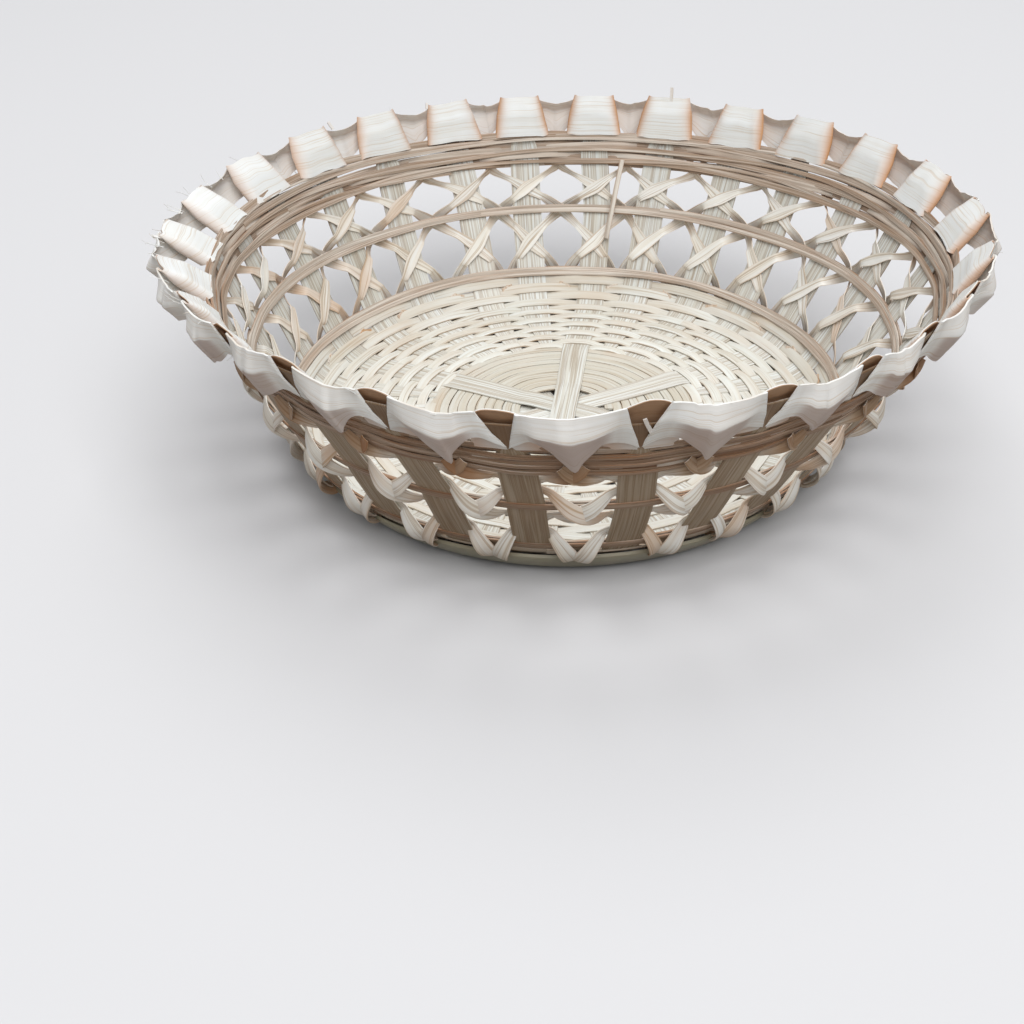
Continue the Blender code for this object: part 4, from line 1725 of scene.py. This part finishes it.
        # less painted shade below the crease at the two sides, except at the square flaps
        right[:, 10] *= np.where(right[:, 10] < 0, 1 - beside * (1 - square), 1.0)
        left = right[:0:-1].copy()
        for part in (left, right):
            part[3:-1, self.GAPS] *= 1.0 + float(spread(rng, 0.05))
            part[:, (1, 4)] += float(spread(rng, 0.35))
            part[:, (4, 7)] += spread(rng, 0.25, (len(part), 2))
            part[:, (2, 5, 8)] += spread(rng, 0.12, (len(part), 3))
        left[:, self.GAPS] *= -1
        keys = np.concatenate([left, right[:-1]])
        lean = dict(self.leans).get(index, 0.0)
        keys[3:-2, 0] += lean
        keys[3:-2, 3] += lean * 0.5
        keys[:, self.GAPS] += index
        return keys

    def _keys(self, rng: Generator) -> np.ndarray:
        """All keys, once round the basket.

        Args:
            rng: The random source.

        Returns:
            One row for each key.
        """
        body = self.body
        rows = []
        for index in range(body.count):
            part = self._period(index, rng)
            part[0] += np.array(self.tip_spread) * spread(rng, 1.0, 3)[list(self.tip_draw)]
            rows.append(part)
        table = np.concatenate(rows)
        flare = body.flare(table[:, 0] * body.gap_angle) / MM
        standing = share_of(table[:, 5], -1.0, 4.5)
        for column, share in self.flare_shares:
            table[:, column] += flare * share * standing
        gap, height, reach = self.raised
        table[:, (1, 4)] += height * bell(table[:, [0]] - gap, reach)
        return table

    def build(self, kit: Kit) -> None:
        """Build the ribbon.

        Args:
            kit: What the splints are built with.
        """
        body = self.body
        table = self._keys(kit.rng)
        at = np.arange(len(table) * self.stations) / self.stations
        lap = np.zeros(table.shape[1])
        lap[list(self.GAPS)] = body.count
        table = np.concatenate([table[-3:] - lap, table, table[:4] + lap])
        values = eased(np.arange(len(table), dtype=float) - 3, table, at)
        upper, crease, lower = (
            body.place(values[:, c], body.band_top + values[:, c + 1] * MM, values[:, c + 2] * MM)
            for c in self.GAPS
        )
        middle = (lower + upper) / 2
        centre = (middle + crease) / 2
        travel = unit(np.roll(centre, -1, axis=0) - np.roll(centre, 1, axis=0))
        across = unit(upper - lower)
        # column 9 browns the folds and the middle of a gap as painted shade and glow, column 10 is painted
        # shade
        ribbon = Splint(
            places=middle,
            across=across,
            face=unit(np.cross(travel, across)),
            half_width=np.linalg.norm(upper - lower, axis=1) / 2,
            fold=crease - middle,
            tone=0.4,
            stain=np.clip(values[:, 9], 0, 1),
            rear=np.clip(values[:, 10], -1, 1),
            layout=Layout.CLOSED,
        )
        bundle = Bundle(
            "border",
            Slot.BORDER,
            ["border_ribbon"],
            self.thickness,
            edge_roughness=0.035,
            ripple=0.32 * MM,
            fold_softness=0.05,
        )
        bundle.splints.append(ribbon)
        bundle.splints += [self._fibre(number, kit.rng) for number in range(self.fibres)]
        bundle.splints += [self._sliver(*values) for values in self.slivers]
        bundle.build(kit)

    def _fibre(self, number: int, rng: Generator) -> Splint:
        """A fine fibre that stands off the ribbon's edge, most likely on its left side.

        Args:
            number: Its number. Even ones stand off the upper edge, odd ones off the lower one.
            rng: The random source.

        Returns:
            The fibre.
        """
        body = self.body
        gap = rng.normal(*self.fray_middle) if number % 3 else rng.uniform(0.0, body.count)
        at = np.linspace(0.0, 1.0, 7)
        high = number % 2 == 0
        foot = 9.4 if high else rng.uniform(-1.0, 6.0)
        rise = rng.uniform(1.6, 4.6) if high else rng.uniform(-2.5, 0.5)
        out = rng.uniform(0.5, 2.8)
        bow = spread(rng, 1.2) * np.sin(np.pi * at)
        layer = (0.6 if high else 1.8) + out * at**1.4
        if not high:
            flare = body.flare(np.array(gap * body.gap_angle)) / MM
            layer = layer - 0.3 * flare * share_of(foot, -1.0, 11.6)
        along = body.band_top + (foot + rise * at + bow) * MM
        gaps = gap + spread(rng, 0.1) * at
        places = body.place(gaps, along, layer * MM)
        fibre = Splint.on_path(places, body.outward(gaps, along), self.fibre_width, tone=0.6)
        fibre.face = fibre.face * 0.3
        fibre.half_width = fibre.half_width * (1.15 - at)
        return fibre

    def _sliver(
        self, gap: float, foot: float, layer: float, turn: float, rise: float, out: float, width: float
    ) -> Splint:
        """A small split end.

        Args:
            gap: Its gap.
            foot: Its height above the band.
            layer: Its distance outward.
            turn: How many gaps it goes round from there.
            rise: How far it goes up.
            out: How far it goes outward.
            width: Its width.

        Returns:
            The split end.
        """
        at = np.linspace(0.0, 1.0, 7)
        gaps = gap + turn * at
        along = self.body.band_top + (foot + rise * at) * MM
        places = self.body.place(gaps, along, (layer + out * at) * MM)
        return Splint.on_path(places, self.body.outward(gaps, along), width * MM, tone=0.2, stain=0.15)


@dataclass
class FootBand:
    """The smooth band that the basket stands on.

    Attributes:
        body: The body that it is under.
        thickness: Its thickness.
        points: Points round the band.
        radii: Half its length and half its depth on the ground.
        below_hoop: How far below the lower hoop its upper edge runs.
        side_drop: How much lower that edge is at the two sides.
        outside: How far outside the middle of the stakes it lies there.
        bulge: How far its middle stands out.
        sink: By how much the middle is lowered, so that the round lower edge rests on the ground.
    """

    body: BodyShape
    thickness: float = 1.3 * MM
    points: int = 260
    radii: tuple[float, float] = (69.5 * MM, 73.4 * MM)
    below_hoop: float = 4.6 * MM
    side_drop: float = 3.0 * MM
    outside: float = 2.3 * MM
    bulge: float = 1.0 * MM
    sink: float = 0.1 * MM

    def build(self, kit: Kit) -> None:
        """Build the band.

        Args:
            kit: What the splints are built with.
        """
        body = self.body
        gaps = np.linspace(0.0, body.count, self.points, endpoint=False)
        angle = gaps * body.gap_angle
        level = np.zeros(self.points)
        lower = np.stack([self.radii[0] * np.cos(angle), self.radii[1] * np.sin(angle), level], axis=1)
        along = body.lower_hoop - self.below_hoop - self.side_drop * np.cos(angle) ** 2
        upper = body.place(gaps, along, np.full(self.points, self.outside))
        middle = (lower + upper) / 2
        across = unit(upper - lower)
        travel = np.stack([-np.sin(angle), np.cos(angle), level], axis=1)
        face = unit(np.cross(travel, across))
        inset = middle - face * self.thickness / 2
        inset[:, 2] -= self.sink
        band = Splint(
            places=inset,
            across=across,
            face=face,
            half_width=np.linalg.norm(upper - lower, axis=1) / 2,
            fold=face * self.bulge,
            tone=0.0,
            stain=np.clip(0.1 + wander(kit.rng, gaps, 0.1, 7.0), 0, 1),
            rear=level,
            layout=Layout.CLOSED,
        )
        bundle = Bundle(
            "foot_ring_band",
            Slot.FOOT,
            ["foot_band"],
            self.thickness,
            edge_roughness=0.02,
            ripple=0.2 * MM,
            fold_softness=0.9,
        )
        bundle.splints.append(band)
        bundle.build(kit)


@dataclass
class Studio:
    """Camera, floor and light.

    Attributes:
        rim_radius: Radius of the rim, which the distance is told in.
        distance: From the middle of the base to the camera, in radii.
        elevation: How high the camera stands, as an angle.
        yaw: How far the camera looks to the right of the middle.
        pitch: How far it looks down.
        roll: How far it is tilted.
        turn: How far it stands round the basket.
        focal_pixels: Its focal length in pixels.
        frame_pixels: Width of the picture in pixels.
        sensor: Width of the sensor in millimetres.
        clip: Nearest and farthest distance that it sees.
        floor_size: Half the side of the floor.
        floor_colour: The floor as the camera sees it.
        bounce: The floor as the basket sees it.
        aim: Where the lamps look.
        lamps: Name, place, side and power in watts of each lamp.
        sky: Colour of the light from all sides.
        sky_strength: Its strength.
    """

    rim_radius: float = 115.0 * MM
    distance: float = 3.727
    elevation: float = math.radians(30.97)
    yaw: float = math.radians(-2.60)
    pitch: float = math.radians(34.65)
    roll: float = math.radians(-1.27)
    turn: float = math.radians(-1.18)
    focal_pixels: float = 1391.0
    frame_pixels: float = 1024.0
    sensor: float = 36.0
    clip: tuple[float, float] = (0.01, 20.0)
    floor_size: float = 3.0
    floor_colour: tuple[float, float, float, float] = (0.60, 0.60, 0.61, 1.0)
    bounce: tuple[float, float, float, float] = (0.25, 0.22, 0.19, 1.0)
    aim: tuple[float, float, float] = (0.0, 0.0, 0.04)
    lamps: tuple[tuple[str, tuple[float, float, float], float, float], ...] = (
        ("main_lamp", (0.30, -1.10, 2.15), 2.2, 60.0),
        ("back_lamp", (-0.10, 1.10, 1.90), 1.6, 20.0),
    )
    sky: tuple[float, float, float, float] = (0.96, 0.97, 1.0, 1.0)
    sky_strength: float = 0.355

    def camera(self) -> None:
        """Put the camera where the photograph was taken from."""
        eye = Vector((0.0, -math.cos(self.elevation), math.sin(self.elevation)))
        eye *= self.distance * self.rim_radius
        forward = Vector(
            (
                math.sin(self.yaw) * math.cos(self.pitch),
                math.cos(self.yaw) * math.cos(self.pitch),
                -math.sin(self.pitch),
            )
        )
        right = forward.cross(Vector((0.0, 0.0, 1.0))).normalized()
        up = right.cross(forward)
        tilted_right = right * math.cos(self.roll) + up * math.sin(self.roll)
        tilted_up = up * math.cos(self.roll) - right * math.sin(self.roll)
        spin = Matrix.Rotation(self.turn, 4, "Z")
        matrix = Matrix.Identity(4)
        for column, axis in enumerate((tilted_right, tilted_up, -forward, eye)):
            matrix.col[column][:3] = (spin @ axis)[:]
        lens = bpy.data.cameras.new("camera")
        lens.sensor_width = self.sensor
        lens.lens = self.focal_pixels / self.frame_pixels * self.sensor
        lens.clip_start, lens.clip_end = self.clip
        camera = bpy.data.objects.new("camera", lens)
        camera.matrix_world = matrix
        bpy.context.scene.collection.objects.link(camera)
        bpy.context.scene.camera = camera

    @staticmethod
    def _seen(sheet: NodeSheet) -> Socket:
        """Which rays show the floor to the camera.

        Args:
            sheet: The floor's nodes.

        Returns:
            1 for rays that come from the camera, by a mirror or through glass, otherwise 0.
        """
        ray = sheet.add("ShaderNodeLightPath").outputs
        seen = sheet.math("MAXIMUM", ray["Is Camera Ray"], ray["Is Glossy Ray"])
        return sheet.math("MAXIMUM", seen, ray["Is Transmission Ray"])

    def floor(self) -> None:
        """A plain pale floor, which throws little light back onto the basket."""
        material = bpy.data.materials.new("floor_finish")
        material.use_nodes = True
        sheet = NodeSheet(material.node_tree)
        shader = material.node_tree.nodes["Principled BSDF"]
        colour = sheet.mixed(self._seen(sheet), self.bounce, self.floor_colour)
        sheet.tree.links.new(colour, shader.inputs["Base Color"])
        shader.inputs["Roughness"].default_value = 0.9
        mesh = bpy.data.meshes.new("floor")
        size = self.floor_size
        corners = [(-size, -size, 0), (size, -size, 0), (size, size, 0), (-size, size, 0)]
        mesh.from_pydata(corners, [], [(0, 1, 2, 3)])
        mesh.materials.append(material)
        floor = bpy.data.objects.new("floor", mesh)
        bpy.context.scene.collection.objects.link(floor)

    def _lamp(self, name: str, place: tuple[float, ...], size: float, power: float) -> None:
        """One square lamp that looks at the basket.

        Args:
            name: Name of the lamp.
            place: Where it hangs.
            size: Length of its side.
            power: Its power in watts.
        """
        light = bpy.data.lights.new(name, "AREA")
        light.shape = "SQUARE"
        light.size = size
        light.energy = power
        lamp = bpy.data.objects.new(name, light)
        lamp.location = place
        lamp.rotation_euler = (Vector(self.aim) - Vector(place)).to_track_quat("-Z", "Y").to_euler()
        bpy.context.scene.collection.objects.link(lamp)

    def light(self) -> None:
        """Soft light from above and a little in front, and a weaker one from behind."""
        for lamp in self.lamps:
            self._lamp(*lamp)
        world = bpy.data.worlds.new("studio_world")
        world.use_nodes = True
        ground = world.node_tree.nodes["Background"]
        ground.inputs["Color"].default_value = self.sky
        ground.inputs["Strength"].default_value = self.sky_strength
        bpy.context.scene.world = world

    def build(self) -> None:
        """Set up the whole studio."""
        self.camera()
        self.floor()
        self.light()
        bpy.context.scene.view_settings.view_transform = "Standard"


def main() -> None:
    """Load the frame, build every sub-assembly and set up the studio."""
    logging.basicConfig(level=logging.INFO, format="%(message)s")
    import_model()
    rng = np.random.default_rng(SEED)
    body = BodyShape()
    solid = SplintTree("splint_sweep", 10, flat=False)
    wide = SplintTree("wide_splint_sweep", 14, flat=False)
    sheet = SplintTree("ribbon_sweep", 34, flat=True)
    Ribs(body).build(Kit(wide, STAKE_FINISH.build(), rng))
    BaseWeave(body).build(Kit(solid, WEAVER_FINISH.build(), rng))
    hoop = Kit(solid, HOOP_FINISH.build(), rng)
    Hoops(body).build(hoop)
    UpperBand(body).build(hoop)
    Lacing(body).build(Kit(wide, LACING_FINISH.build(), rng))
    Border(body).build(Kit(sheet, BORDER_FINISH.build(), rng))
    FootBand(body).build(Kit(wide, FOOT_FINISH.build(), rng))
    Studio().build()


if __name__ == "__main__":
    main()
